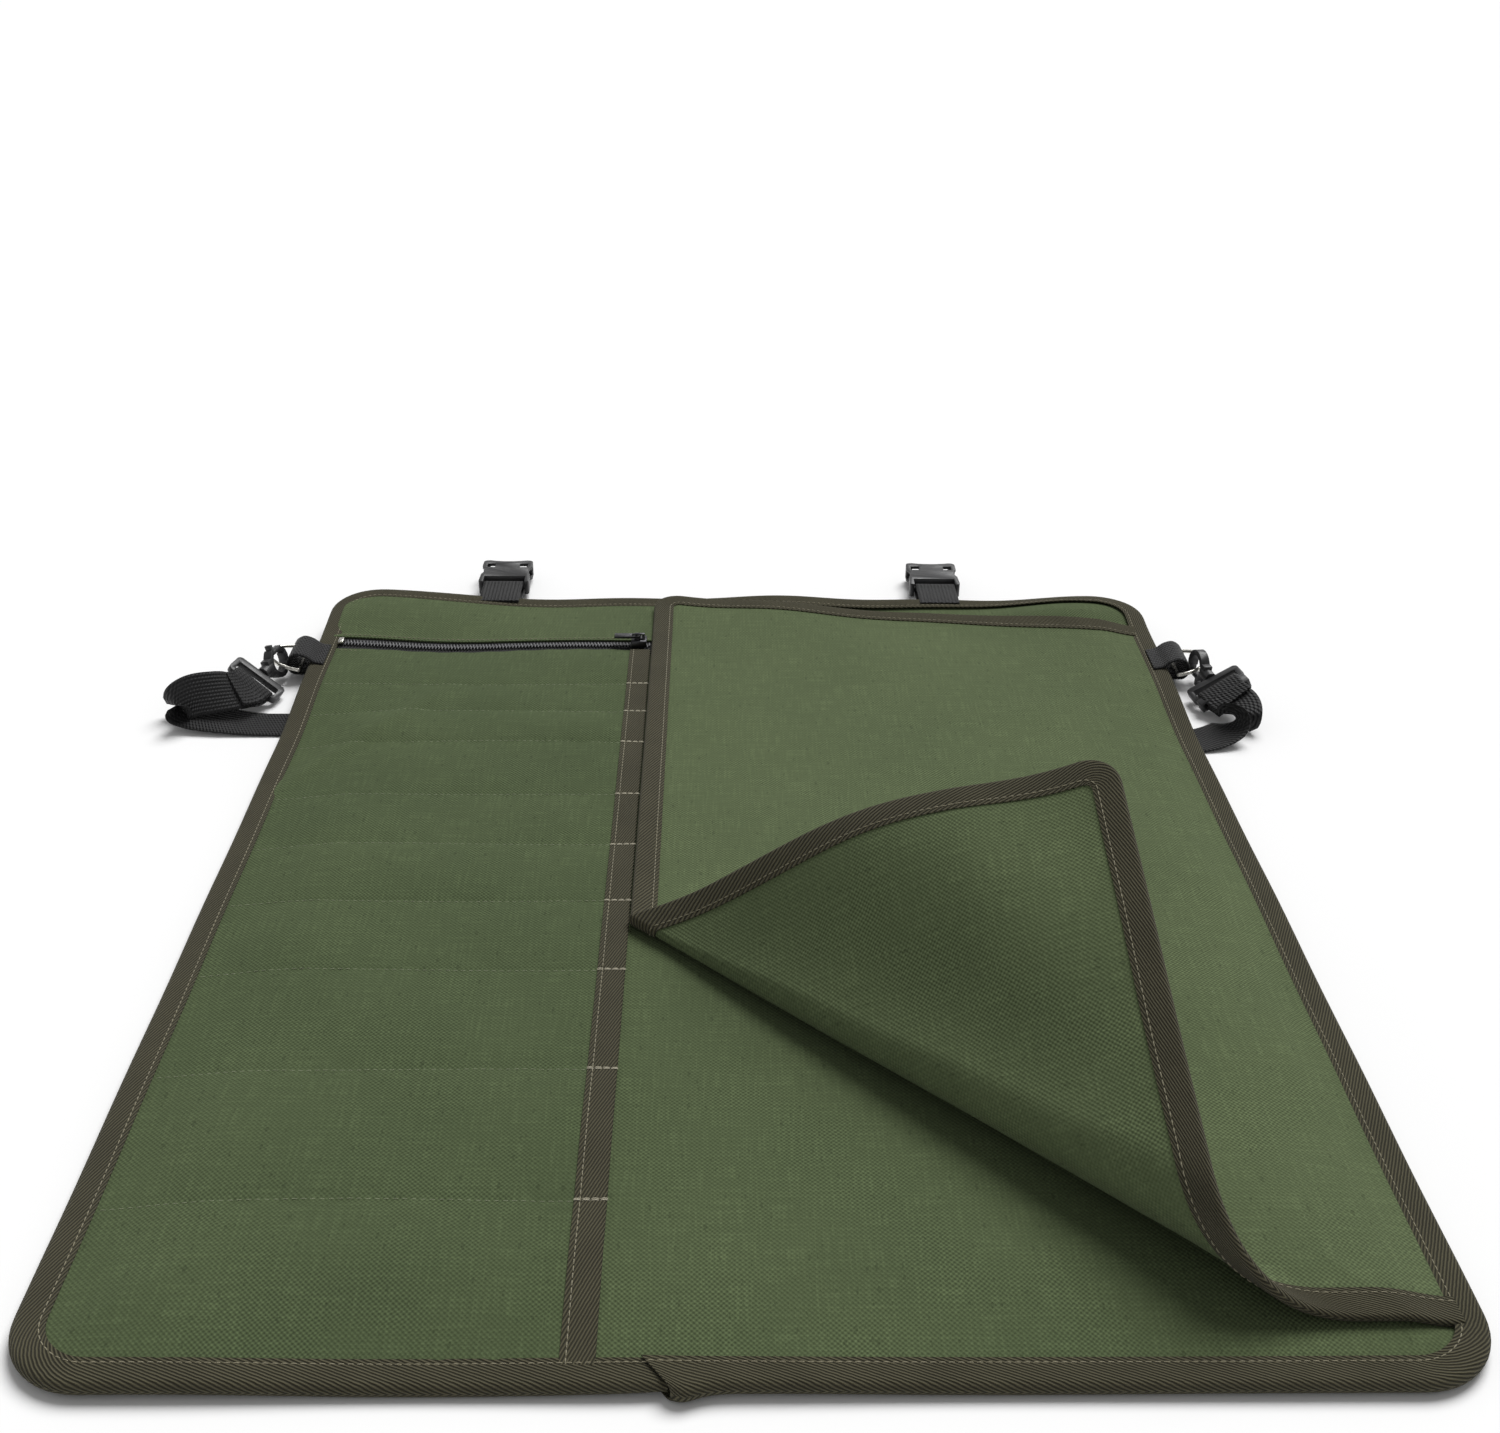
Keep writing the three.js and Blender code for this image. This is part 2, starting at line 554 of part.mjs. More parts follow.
// The socket is waisted where its two windows let the plug's prongs be pinched.
function socketOutline(x) {
  const half = SOCKET_WIDTH / 2;
  const near = SOCKET_BAR_Y - BAR_R - 0.6;
  const far = near + SOCKET_LENGTH;
  const waist = half - SOCKET_WAIST;
  const shape = new THREE.Shape();
  shape.moveTo(x - half + 1.5, near);
  shape.lineTo(x + half - 1.5, near);
  shape.quadraticCurveTo(x + half, near, x + half, near + 2);
  shape.lineTo(x + half - 0.4, near + 12);
  shape.quadraticCurveTo(x + waist, near + 15, x + waist, near + 18);
  shape.quadraticCurveTo(x + waist, near + 21, x + half, near + 24);
  shape.lineTo(x + half, far - 3);
  shape.quadraticCurveTo(x + half, far, x + half - 4, far);
  shape.quadraticCurveTo(x, far - 3, x - half + 4, far);
  shape.quadraticCurveTo(x - half, far, x - half, far - 3);
  shape.lineTo(x - half, near + 24);
  shape.quadraticCurveTo(x - waist, near + 21, x - waist, near + 18);
  shape.quadraticCurveTo(x - waist, near + 15, x - half + 0.4, near + 12);
  shape.lineTo(x - half, near + 2);
  shape.quadraticCurveTo(x - half, near, x - half + 1.5, near);
  return shape;
}

for (const [side, x] of Object.entries(SOCKET_XS)) {
  const webHalf = WEB_W / 2;
  const tab = hairpin(DEPTH / 2 + GAP, SOCKET_BAR_Y, SOCKET_Z, BAR_R + 0.4);
  add(`buckle_tab_${side}`, alongX(tab, x - webHalf, x + webHalf), 'webbing');
  const slotNear = SOCKET_BAR_Y - BAR_R - 2;
  const slotFar = SOCKET_BAR_Y + 6;
  const slotHalf = webHalf + 0.6;
  const floor = SOCKET_Z - SOCKET_H / 2;
  const bar = new THREE.CylinderGeometry(BAR_R, BAR_R, SOCKET_WIDTH - 3, 12)
    .rotateZ(Math.PI / 2).translate(x, SOCKET_BAR_Y, SOCKET_Z);
  const cavity = [SOCKET_Z - SOCKET_CAVITY_H / 2, SOCKET_Z + SOCKET_CAVITY_H / 2];
  const shell = cut(
    plate(socketOutline(x), floor, floor + SOCKET_H),
    block(x - slotHalf, x + slotHalf, slotNear - 5, slotFar, floor - 1, floor + SOCKET_H + 1),
    block(x - SOCKET_CAVITY_HALF, x + SOCKET_CAVITY_HALF, slotFar + 2, slotFar + SOCKET_LENGTH, ...cavity),
    block(x - SOCKET_WIDTH, x + SOCKET_WIDTH, slotFar + 12, slotFar + 19, ...cavity),
  );
  add(`buckle_socket_${side}`, join(shell, bar), 'plastic');
}

// ---- D-rings, their tabs, and the strap's snap hooks -----------------------------------------

// A D: a straight bar at x = 0 and a bow reaching out from its ends, for an angle in turns.
function ringPoint(turn) {
  const angle = turn * 2 * Math.PI;
  const c = Math.cos(angle);
  const s = Math.sin(angle);
  const bow = c > 0 ? RING_REACH * c ** 0.8 : 0;
  return new THREE.Vector2(bow, RING_HALF * s);
}

// The hook's own frame: +X runs from the middle of the jaw to the webbing eye.
function hookBody() {
  const jaw = new THREE.Shape();
  jaw.absarc(0, 0, HOOK_JAW_R, 0, 2 * Math.PI);
  const hole = new THREE.Shape();
  hole.absarc(0, 0, HOOK_HOLE_R, 0, 2 * Math.PI);
  const half = HOOK_T / 2;
  const barrel = new THREE.CylinderGeometry(BARREL_R, BARREL_R, BARREL_LENGTH, 12)
    .rotateZ(Math.PI / 2).translate(BARREL_X, 0, 0);
  const neck = block(4, BARREL_X - 1, -HOOK_NECK_HALF, HOOK_NECK_HALF, -half, half);
  return cut(
    join(plate(jaw, -half, half, 10), barrel, neck),
    plate(hole, -half - 1, half + 1, 10),
    block(...JAW_MOUTH, -HOOK_JAW_R - 1, JAW_MOUTH_Y, -half - 1, half + 1),
  );
}

// The gate closes the jaw's open side; its pin is at the right-hand end, in the middle of its bar.
function hookGate() {
  const half = HOOK_T / 2 - 0.5;
  const [front, back] = GATE_BAR;
  const left = JAW_MOUTH[0] + 0.7;
  const right = JAW_MOUTH[1] - 0.5;
  return join(
    block(left, right, front, back, -half, half),
    block(right - 2.2, right, front - GATE_THUMB, front + 0.2, -half, half),
  );
}

function swivelEye() {
  const half = HOOK_T / 2 - 0.6;
  const outerHalf = WEB_W / 2 + EYE_RIM;
  const slotHalf = WEB_W / 2 + 0.7;
  const outer = roundedRect(EYE_NEAR, -outerHalf, EYE_FAR, outerHalf, 3);
  const slot = roundedRect(EYE_AT - 3.4, -slotHalf, EYE_AT + 3, slotHalf, 1);
  return cut(plate(outer, -half, half, 4), plate(slot, -half - 1, half + 1, 3));
}

// Each hook hangs on its D-ring's bow; eyeTilt is the swivelled eye's own turn about the long axis.
const HOOKS = {
  left: { at: [-268.2, 209.8, 12], heading: -104, tilt: -76, eyeTilt: -35 },
  right: { at: [267.6, 210, 12.3], heading: -80.6, tilt: 88, eyeTilt: 28 },
};
function turnedGroup(at, heading, tilt) {
  const group = new THREE.Group();
  group.position.set(...at);
  group.rotation.order = 'ZYX';
  group.rotation.z = THREE.MathUtils.degToRad(heading);
  group.rotation.x = THREE.MathUtils.degToRad(tilt);
  roll.add(group);
  return group;
}

for (const [side, sign] of [['left', -1], ['right', 1]]) {
  const barX = sign * RING_BAR_X;
  const tab = hairpin(sign * (WIDTH / 2 + GAP), barX, RING_Z, RING_WIRE_R + 0.4, sign);
  add(`ring_tab_${side}`, alongY(tab, RING_Y - WEB_W / 2, RING_Y + WEB_W / 2), 'webbing');

  const ring = add(`d_ring_${side}`, wireLoop(ringPoint, RING_WIRE_R, 32, 8), 'steel');
  ring.rotation.order = 'ZYX';
  ring.position.set(barX, RING_Y, RING_Z);
  ring.rotation.z = sign < 0 ? Math.PI : 0;
  ring.rotation.y = THREE.MathUtils.degToRad(-RING_LIFT);

  const { at, heading, tilt, eyeTilt } = HOOKS[side];
  const hook = turnedGroup(at, heading, tilt);
  add(`snap_hook_${side}`, hookBody(), 'plastic', hook);
  add(`snap_gate_${side}`, hookGate(), 'plastic', hook);
  add(`swivel_eye_${side}`, swivelEye(), 'plastic', turnedGroup(at, heading, eyeTilt));
}

// ---- Shoulder strap --------------------------------------------------------------------------

const STRAP_Z = WEB_T / 2;
const STRAP_ROUTE = [
  { at: [-276.3, 177.3, 12], across: [-0.79, 0.2, 0.57] },
  { at: [-277.6, 172.2, 12.8], across: [-0.78, 0.26, 0.58] },
  { at: [-282.6, 166.2, 15.2], across: [-0.75, 0.36, 0.6] },
  { at: [-292, 161.5, 16.4], across: [-0.66, 0.44, 0.6] },
  { at: [-304, 158.5, 15.2], across: [-0.52, 0.58, 0.6] },
  { at: [-311, 156.6, 11], across: [-0.42, 0.7, 0.5] },
  { at: [-304, 155.2, 7.4], across: [-0.26, 0.85, 0.36] },
  { at: [-287, 153.5, 3.6], across: [-0.1, 0.95, 0.12] },
  { at: [-268, 153, 1.1], across: [0, 1, 0] },
  { at: [-245, 153, STRAP_Z], across: [0, 1, 0] },
  { at: [-150, 150, STRAP_Z], across: [0, 1, 0] },
  { at: [0, 146, STRAP_Z], across: [0, 1, 0] },
  { at: [150, 142, STRAP_Z], across: [0, 1, 0] },
  { at: [238, 139, STRAP_Z], across: [0, 1, 0] },
  { at: [256, 140.4, 1.4], across: [0.05, 0.99, 0.02] },
  { at: [270, 146, 5], across: [0.3, 0.93, 0.15] },
  { at: [277.2, 154.6, 9.8], across: [0.64, 0.7, 0.35] },
  { at: [277.8, 163.4, 11.8], across: [0.8, 0.45, 0.4] },
  { at: [274.2, 172, 12.2], across: [0.87, 0.2, 0.46] },
  { at: [273, 177.2, 12.3], across: [0.87, 0.14, 0.47] },
];

const strapPath = new THREE.CatmullRomCurve3(STRAP_ROUTE.map(({ at }) => vec(...at)), false, 'centripetal');
const strapSides = new THREE.CatmullRomCurve3(STRAP_ROUTE.map(({ across }) => vec(...across)));

// The strap's own directions at a place along it: along, across and up through its thickness.
function strapFrame(u) {
  const along = strapPath.getTangent(u);
  const across = strapSides.getPoint(u);
  across.addScaledVector(along, -across.dot(along)).normalize();
  const up = along.clone().cross(across);
  return { at: strapPath.getPoint(u), along, across, up };
}

// No point of the strap goes under the ground, and the layer on top stays a thickness above it.
add('shoulder_strap', bent(96, 1, (u, v, w) => {
  const { at, across, up } = strapFrame(u);
  const layer = up.z > 0 ? w : 1 - w;
  at.addScaledVector(across, (v - 0.5) * WEB_W).addScaledVector(up, (w - 0.5) * WEB_T);
  at.z = Math.max(at.z, layer * WEB_T);
  return at;
}), 'webbing');

// The adjuster is a flat frame round the strap, close to the right-hand hook.
const adjusterHalf = WEB_W / 2 + ADJUSTER_RIM;
const adjusterSlot = WEB_W / 2 + 0.7;
const adjuster = add('strap_adjuster', cut(
  block(-ADJUSTER_HALF_L, ADJUSTER_HALF_L, -adjusterHalf, adjusterHalf, -ADJUSTER_HALF_H, ADJUSTER_HALF_H),
  block(-3 * ADJUSTER_HALF_L, 3 * ADJUSTER_HALF_L, -adjusterSlot, adjusterSlot,
    -ADJUSTER_SLOT_H / 2, ADJUSTER_SLOT_H / 2),
), 'plastic');
const place = strapFrame(ADJUSTER_AT);
adjuster.position.copy(place.at);
adjuster.quaternion.setFromRotationMatrix(
  new THREE.Matrix4().makeBasis(place.along, place.across, place.up),
);

// ---- Closure straps and their plugs, sewn to the underside ------------------------------------

const PLUG_LOW = 0.3;
const PLUG_HIGH = 5.7;
const PLUG_HALF = 16;
const PLUG_DEPTH = 16;
const PRONG_LOW = 1;
const PRONG_HIGH = 5;
for (const [side, x] of Object.entries(SOCKET_XS)) {
  const webHalf = WEB_W / 2;
  const strap = block(x - webHalf, x + webHalf, CLOSURE_STRAP_FRONT, CLOSURE_STRAP_BACK, 0, WEB_T);
  add(`closure_strap_${side}`, strap, 'webbing');

  const back = CLOSURE_STRAP_FRONT - GAP;
  const root = back - PLUG_DEPTH;
  const slotHalf = webHalf + 1;
  const frame = block(x - PLUG_HALF, x + PLUG_HALF, root, back, PLUG_LOW, PLUG_HIGH);
  const guide = block(x - 2.5, x + 2.5, root - 18, root + 1, PRONG_LOW + 0.5, PRONG_HIGH - 0.5);
  const slot = block(x - slotHalf, x + slotHalf, back - 9, back - 4, PLUG_LOW - 1, PLUG_HIGH + 1);
  add(`plug_frame_${side}`, cut(join(frame, guide), slot), 'plastic');
  for (const [end, turn] of [['a', -1], ['b', 1]]) {
    const arm = polygon([
      [x + turn * 8, root - GAP], [x + turn * 12, root - GAP],
      [x + turn * 11, root - 8], [x + turn * 14, root - 11],
      [x + turn * 11.5, root - 20], [x + turn * 9, root - 20],
    ]);
    add(`plug_prong_${side}_${end}`, plate(arm, PRONG_LOW, PRONG_HIGH), 'plastic');
  }
}

// ---- Frame: origin under the middle of the whole object --------------------------------------

const bounds = new THREE.Box3().setFromObject(roll, true);
const middle = bounds.getCenter(new THREE.Vector3());
roll.position.set(-middle.x, -middle.y, -bounds.min.z);

const tool_roll = new THREE.Group();
tool_roll.add(roll);
tool_roll.updateMatrixWorld(true);

export default tool_roll;
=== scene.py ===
import json
import math

import bmesh
import bpy
import numpy as np
from mathutils import Matrix, Vector


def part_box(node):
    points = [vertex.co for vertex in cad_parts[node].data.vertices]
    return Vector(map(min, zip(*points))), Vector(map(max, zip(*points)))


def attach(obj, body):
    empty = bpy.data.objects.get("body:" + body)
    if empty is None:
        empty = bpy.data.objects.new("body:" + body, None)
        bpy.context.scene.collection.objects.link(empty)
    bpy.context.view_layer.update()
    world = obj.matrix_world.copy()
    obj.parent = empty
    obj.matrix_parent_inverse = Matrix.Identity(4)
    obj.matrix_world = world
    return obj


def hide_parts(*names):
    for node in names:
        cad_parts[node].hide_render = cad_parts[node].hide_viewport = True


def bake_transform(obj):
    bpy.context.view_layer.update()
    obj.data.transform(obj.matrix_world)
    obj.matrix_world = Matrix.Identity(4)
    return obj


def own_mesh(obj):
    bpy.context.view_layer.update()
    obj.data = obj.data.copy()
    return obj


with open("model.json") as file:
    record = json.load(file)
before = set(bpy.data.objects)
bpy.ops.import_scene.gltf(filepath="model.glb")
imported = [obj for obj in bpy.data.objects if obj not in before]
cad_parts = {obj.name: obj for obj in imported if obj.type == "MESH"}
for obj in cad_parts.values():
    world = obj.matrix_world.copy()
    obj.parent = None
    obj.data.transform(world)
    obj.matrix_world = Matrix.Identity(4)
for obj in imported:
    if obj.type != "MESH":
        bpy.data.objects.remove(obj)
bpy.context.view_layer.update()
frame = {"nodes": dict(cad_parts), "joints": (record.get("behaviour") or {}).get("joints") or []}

# ---- Sizes -----------------------------------------------------------------------------------

MM = 0.001
binding_low, binding_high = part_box("edge_binding")
MIDDLE = np.array([binding_low.x + binding_high.x, binding_low.y + binding_high.y, 0]) / 2 / MM
HALF_W = (binding_high.x - binding_low.x) / 2 / MM
HALF_D = (binding_high.y - binding_low.y) / 2 / MM


def cad_box(node):
    """A CAD node's lowest and highest corners, in millimetres from the sheet's middle."""
    low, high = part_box(node)
    return np.array(low) / MM - MIDDLE, np.array(high) / MM - MIDDLE


def joint_place(name):
    """A joint's point, in millimetres from the sheet's middle."""
    joint = next(j for j in frame["joints"] if j["name"] == name)
    return np.array(joint["pos_m"]) / MM - MIDDLE


CORNER_R = 30
TAPE_W = 12
TAPE_T = 0.6
CLOTH_T = 1.0
WEB_W = 25
WEB_T = 1.5
PANEL_INSET = 8                 # the pocket panels' edges lie this far inside the sheet's
BASE_LOW = cad_box("base_panel")[0][2]
BASE_TOP = cad_box("base_panel")[1][2]

POCKET_MOUTH_X = cad_box("pocket_mouth_binding")[1][0]
POCKET_SEAMS = (-226, -153, -86, -33, 16, 63, 118, 153, 186)
POCKET_BACK = cad_box("pocket_panel")[1][1]
ZIP_Y = (cad_box("zip_tape_front")[0][1] + cad_box("zip_tape_back")[1][1]) / 2
ZIP_HALF = 7.5
ZIP_LEFT = cad_box("zip_tape_front")[0][0]
ZIP_RIGHT = cad_box("zip_tape_front")[1][0] + 6

FLAP_LEFT = cad_box("flap_edge_binding")[0][0]
FLAP_RIGHT = 236.5
FLAP_FRONT = -282.0
FLAP_BACK_LEFT = 303.0
FLAP_BACK_RIGHT = 265.0
FLAP_T = 1.5
FLAP_CORNER_R = 16.0
HINGE_STRIP_X = 224.0

APEX = joint_place("corner_unfold")
FOLD_START = math.radians(-41.6)
FOLD_SECTOR = math.radians(10.4)
FOLD_TURN = math.radians(142.7)
FOLD_HALF_ANGLE = math.asin(FOLD_SECTOR / FOLD_TURN)
RULING = np.array([math.cos(FOLD_START), math.sin(FOLD_START), 0])
RIGHT = np.array([1.0, 0.0, 0.0])
BACK = np.array([0.0, 1.0, 0.0])
UP = np.array([0.0, 0.0, 1.0])
CONE_AXIS = RULING * math.cos(FOLD_HALF_ANGLE) + UP * math.sin(FOLD_HALF_ANGLE)

# ---- Arithmetic ------------------------------------------------------------------------------


def smooth(start, end, x):
    """0 before start, 1 after end and an S between them."""
    t = np.clip((x - start) / (end - start), 0, 1)
    return t * t * (3 - 2 * t)


def bump(x, width):
    return np.exp(-(x / width) ** 2)


def joined(*parts):
    """Vectors from their components, each of which is a number or an array."""
    return np.stack(np.broadcast_arrays(*parts), -1)


def unit(v):
    return v / np.maximum(np.linalg.norm(v, axis=-1, keepdims=True), 1e-9)


def turned(vectors, axis, angle):
    """Vectors turned about an axis through the origin, each by its own angle."""
    c = np.cos(angle)[..., None]
    s = np.sin(angle)[..., None]
    along = (vectors @ axis)[..., None] * axis
    return vectors * c + np.cross(axis, vectors) * s + along * (1 - c)


def spline(knots, steps):
    """A centripetal Catmull-Rom curve through the knots, with a number of steps to each span."""
    p = np.array(knots, float)
    p = np.vstack([2 * p[0] - p[1], p, 2 * p[-1] - p[-2]])
    made = []
    for i in range(1, len(p) - 2):
        gaps = np.sqrt(np.maximum(np.linalg.norm(p[i:i + 3, :3] - p[i - 1:i + 2, :3], axis=1), 1e-6))
        t0, t1, t2, t3 = np.concatenate([[0], np.cumsum(gaps)])
        t = np.linspace(t1, t2, steps, endpoint=False)[:, None]
        a = (t1 - t) / (t1 - t0) * p[i - 1] + (t - t0) / (t1 - t0) * p[i]
        b = (t2 - t) / (t2 - t1) * p[i] + (t - t1) / (t2 - t1) * p[i + 1]
        c = (t3 - t) / (t3 - t2) * p[i + 1] + (t - t2) / (t3 - t2) * p[i + 2]
        ab = (t2 - t) / (t2 - t0) * a + (t - t0) / (t2 - t0) * b
        bc = (t3 - t) / (t3 - t1) * b + (t - t1) / (t3 - t1) * c
        made.append((t2 - t) / (t2 - t1) * ab + (t - t1) / (t2 - t1) * bc)
    return np.vstack(made + [p[-2][None]])


def lengths(points):
    """Distance along a line of points, at each of them."""
    return np.concatenate([[0], np.cumsum(np.linalg.norm(np.diff(points, axis=0), axis=1))])


def sampled(points, at, want):
    """A line's points at the wanted distances along it; at gives the distance of each point."""
    return np.stack([np.interp(want, at, column) for column in points.T], -1)


def resampled(points, count):
    at = lengths(points)
    return sampled(points, at, np.linspace(0, at[-1], count))


# ---- How the soft sheet lies -----------------------------------------------------------------

DROOP = 4.6                     # the rim sinks this far towards the ground
CURLED_CORNER = (-229, 289)     # the back left corner, which curls up
HUMP_AT = (196, 285)            # a raised fold in the back edge, by the right corner
SAG_AT = (-172, 238)            # where the zip sags most


def settle(x, y):
    """How far the soft cloth lies above the CAD model's flat sheet."""
    rim = np.minimum(HALF_W - np.abs(x), HALF_D + y)
    droop = DROOP * (1 - smooth(0, 60, rim)) * (1 - smooth(120, 200, y))
    swell = 0.5 * np.sin(x / 33 + 1.3) * np.cos(y / 49) + 0.3 * np.sin((x + 1.4 * y) / 27)
    back = smooth(HALF_D - 90, HALF_D - 12, y)
    wave = back * (1.1 * np.sin(x / 34 + 0.4) + 0.8 * np.sin(x / 15.5) - 1.6 * bump(x + 162, 36))
    corner = 5.5 * bump(np.hypot(x - CURLED_CORNER[0], y - CURLED_CORNER[1]), 40)
    hump = 6.0 * bump(x - HUMP_AT[0], 46) * bump(y - HUMP_AT[1], 18)
    sag = 2.6 * bump(x - SAG_AT[0], 48) * bump(y - SAG_AT[1], 40)
    return wave + corner + hump + swell - droop - sag


def puff(x, y):
    """How far the pocket cloth stands off the sheet between its seams."""
    edges = np.array((-HALF_D + PANEL_INSET, *POCKET_SEAMS, POCKET_BACK + 4))
    k = np.clip(np.searchsorted(edges, y) - 1, 0, len(edges) - 2)
    t = np.clip((y - edges[k]) / (edges[k + 1] - edges[k]), 0, 1)
    height = (1.3 + 0.5 * np.sin(k * 2.1)) * np.sin(np.pi * t) ** 0.6
    ends = smooth(-HALF_W + 10, -HALF_W + 46, x) * (1 - 0.6 * smooth(-80, POCKET_MOUTH_X, x))
    seam_gap = np.minimum(y - edges[k], edges[k + 1] - y)
    pucker = 0.16 * np.sin(x / 2.9 + k * 1.7) * bump(seam_gap - 2.5, 4)
    drag = 0.45 * np.sin((x + 0.8 * y) / 19 + k) * np.sin(np.pi * t)
    from_crease = y - 81 - 1.42 * (x + 234)
    crease = 1.5 * bump(from_crease, 14) * smooth(-250, -228, x) * (1 - smooth(-185, -145, x))
    return np.maximum((height + pucker + drag) * ends + crease, 0)


# ---- Meshes ----------------------------------------------------------------------------------


def to_frame(points):
    return (np.asarray(points, float) + MIDDLE) * MM


def piece(name, points, faces, look, cloth=None, flat_faces=(), corner_normals=None):
    """A new object from points in millimetres; cloth gives each point its cloth coordinates."""
    mesh = bpy.data.meshes.new(name)
    mesh.from_pydata(to_frame(points).tolist(), [], [list(map(int, f)) for f in faces])
    mesh.materials.append(look)
    if cloth is not None:
        data = np.zeros((len(points), 3), np.float32)
        data[:, :cloth.shape[1]] = cloth
        mesh.attributes.new("cloth", "FLOAT_VECTOR", "POINT").data.foreach_set("vector", data.ravel())
    shade = np.ones(len(faces), bool)
    shade[list(flat_faces)] = False
    mesh.polygons.foreach_set("use_smooth", shade)
    if corner_normals is not None:
        mesh.normals_split_custom_set(corner_normals.tolist())
    mesh.update()
    made = bpy.data.objects.new(name, mesh)
    bpy.context.scene.collection.objects.link(made)
    return made


def grid_quads(rows, columns):
    a = (np.arange(rows - 1)[:, None] * columns + np.arange(columns - 1)[None]).reshape(-1)
    return joined(a, a + columns, a + columns + 1, a + 1)


def grid_normals(points):
    return unit(np.cross(np.gradient(points, axis=0), np.gradient(points, axis=1)))


def slab(name, top, bottom, cloth, look, normals=None, bottom_normals=None):
    """A closed piece of cloth between two grids of points, smooth on both faces."""
    rows, columns = top.shape[:2]
    count = rows * columns
    built = grid_normals(top)
    turned_over = ((top - bottom) * built).sum(-1).mean() < 0
    normals = built * (-1 if turned_over else 1) if normals is None else normals
    if bottom_normals is None:
        bottom_normals = grid_normals(bottom) * (1 if turned_over else -1)
    upper = grid_quads(rows, columns)
    lower = upper[:, ::-1] + count
    ids = np.arange(count).reshape(rows, columns)
    loop = np.concatenate([ids[:, 0], ids[-1, 1:], ids[-2::-1, -1], ids[0, -2:0:-1]])
    after = np.roll(loop, -1)
    rim = joined(loop, loop + count, after + count, after)
    points = np.concatenate([top.reshape(-1, 3), bottom.reshape(-1, 3)])
    faces = np.concatenate([upper, lower, rim])
    if turned_over:
        faces = faces[:, ::-1]
    by_point = np.concatenate([normals.reshape(-1, 3), bottom_normals.reshape(-1, 3)])
    corners = by_point[faces.reshape(-1)]
    corners[4 * len(upper) * 2:] = 0
    flat_cloth = np.concatenate([cloth.reshape(count, -1)] * 2)
    rim_faces = range(2 * len(upper), len(faces))
    return piece(name, points, faces, look, flat_cloth, rim_faces, corners)


def tube(name, rings, look, cloth=None, loop=False):
    """A closed skin over rings of points, with its ends capped, or joined end to end."""
    count, around = rings.shape[:2]
    ids = np.arange(count * around).reshape(count, around)
    ahead = np.roll(ids, -1, axis=0) if loop else ids[1:]
    here = ids if loop else ids[:-1]
    side = joined(here, np.roll(here, -1, 1), np.roll(ahead, -1, 1), ahead).reshape(-1, 4)
    faces = [list(f) for f in side]
    flat_faces = []
    if not loop:
        flat_faces = [len(faces), len(faces) + 1]
        faces += [list(ids[0][::-1]), list(ids[-1])]
    a, b, c = (rings.reshape(-1, 3)[side[:, k]] for k in (0, 1, 2))
    if (np.cross(b - a, c - a) * (a - rings.mean(1).repeat(around, 0)[side[:, 0]])).sum() < 0:
        faces = [f[::-1] for f in faces]
    return piece(name, rings.reshape(-1, 3), faces, look, cloth, flat_faces)


# ---- Tape and webbing ------------------------------------------------------------------------


def tape_profile(above, below, bulge=0.7, nose=2.4):
    """The binding's section: share of the way in from the edge, height, and distance round it.

    above and below are the heights of the cloth's faces, which the tape lies on."""
    high = above + TAPE_T
    low = -below - TAPE_T
    middle = (high + low) / 2
    radius = (high - low) / 2 + bulge
    flat_f = np.linspace(1, 0.3, 5)
    angle = np.linspace(0.5 * np.pi, -0.5 * np.pi, 11)
    nose_f = (nose * (1 - np.cos(angle))) / TAPE_W
    nose_z = middle + radius * np.sin(angle)
    top_z = high + bulge * smooth(1.0, 0.3, flat_f)
    bottom_z = low - bulge * smooth(1.0, 0.3, flat_f)
    f = np.concatenate([flat_f, nose_f, flat_f[::-1]])
    z = np.concatenate([top_z, nose_z, bottom_z[::-1]])
    inner_f = np.concatenate([flat_f, nose_f + TAPE_T / TAPE_W, flat_f[::-1]])
    inner_z = np.concatenate([top_z - TAPE_T, middle + (radius - TAPE_T) * np.sin(angle),
                              bottom_z[::-1] + TAPE_T])
    round_it = lengths(joined(f * TAPE_W, z))
    return f, z, inner_f, inner_z, round_it - round_it[-1] / 2


def tape(name, outer, inner, place, look, profile, along=0.0, flare=None):
    """Binding folded over an edge. outer and inner are its stations' ends on the flat cut."""
    f, z, inner_f, inner_z, across = profile
    reach = inner - outer

    def skin(share, height):
        xy = outer[:, None] + share[None, :, None] * reach[:, None]
        rise = np.broadcast_to(height, xy.shape[:2]).copy()
        if flare is not None:
            out, lift = flare
            xy -= unit(reach)[:, None] * (out[:, None] * (1 - np.clip(share, 0, 1))[None])[..., None]
            rise += lift[:, None] * np.sign(rise)
        return place(xy[..., 0], xy[..., 1], rise)

    run = along + lengths((outer + inner) / 2)
    return slab(name, skin(f, z), skin(inner_f, inner_z), joined(run[:, None], across), look)


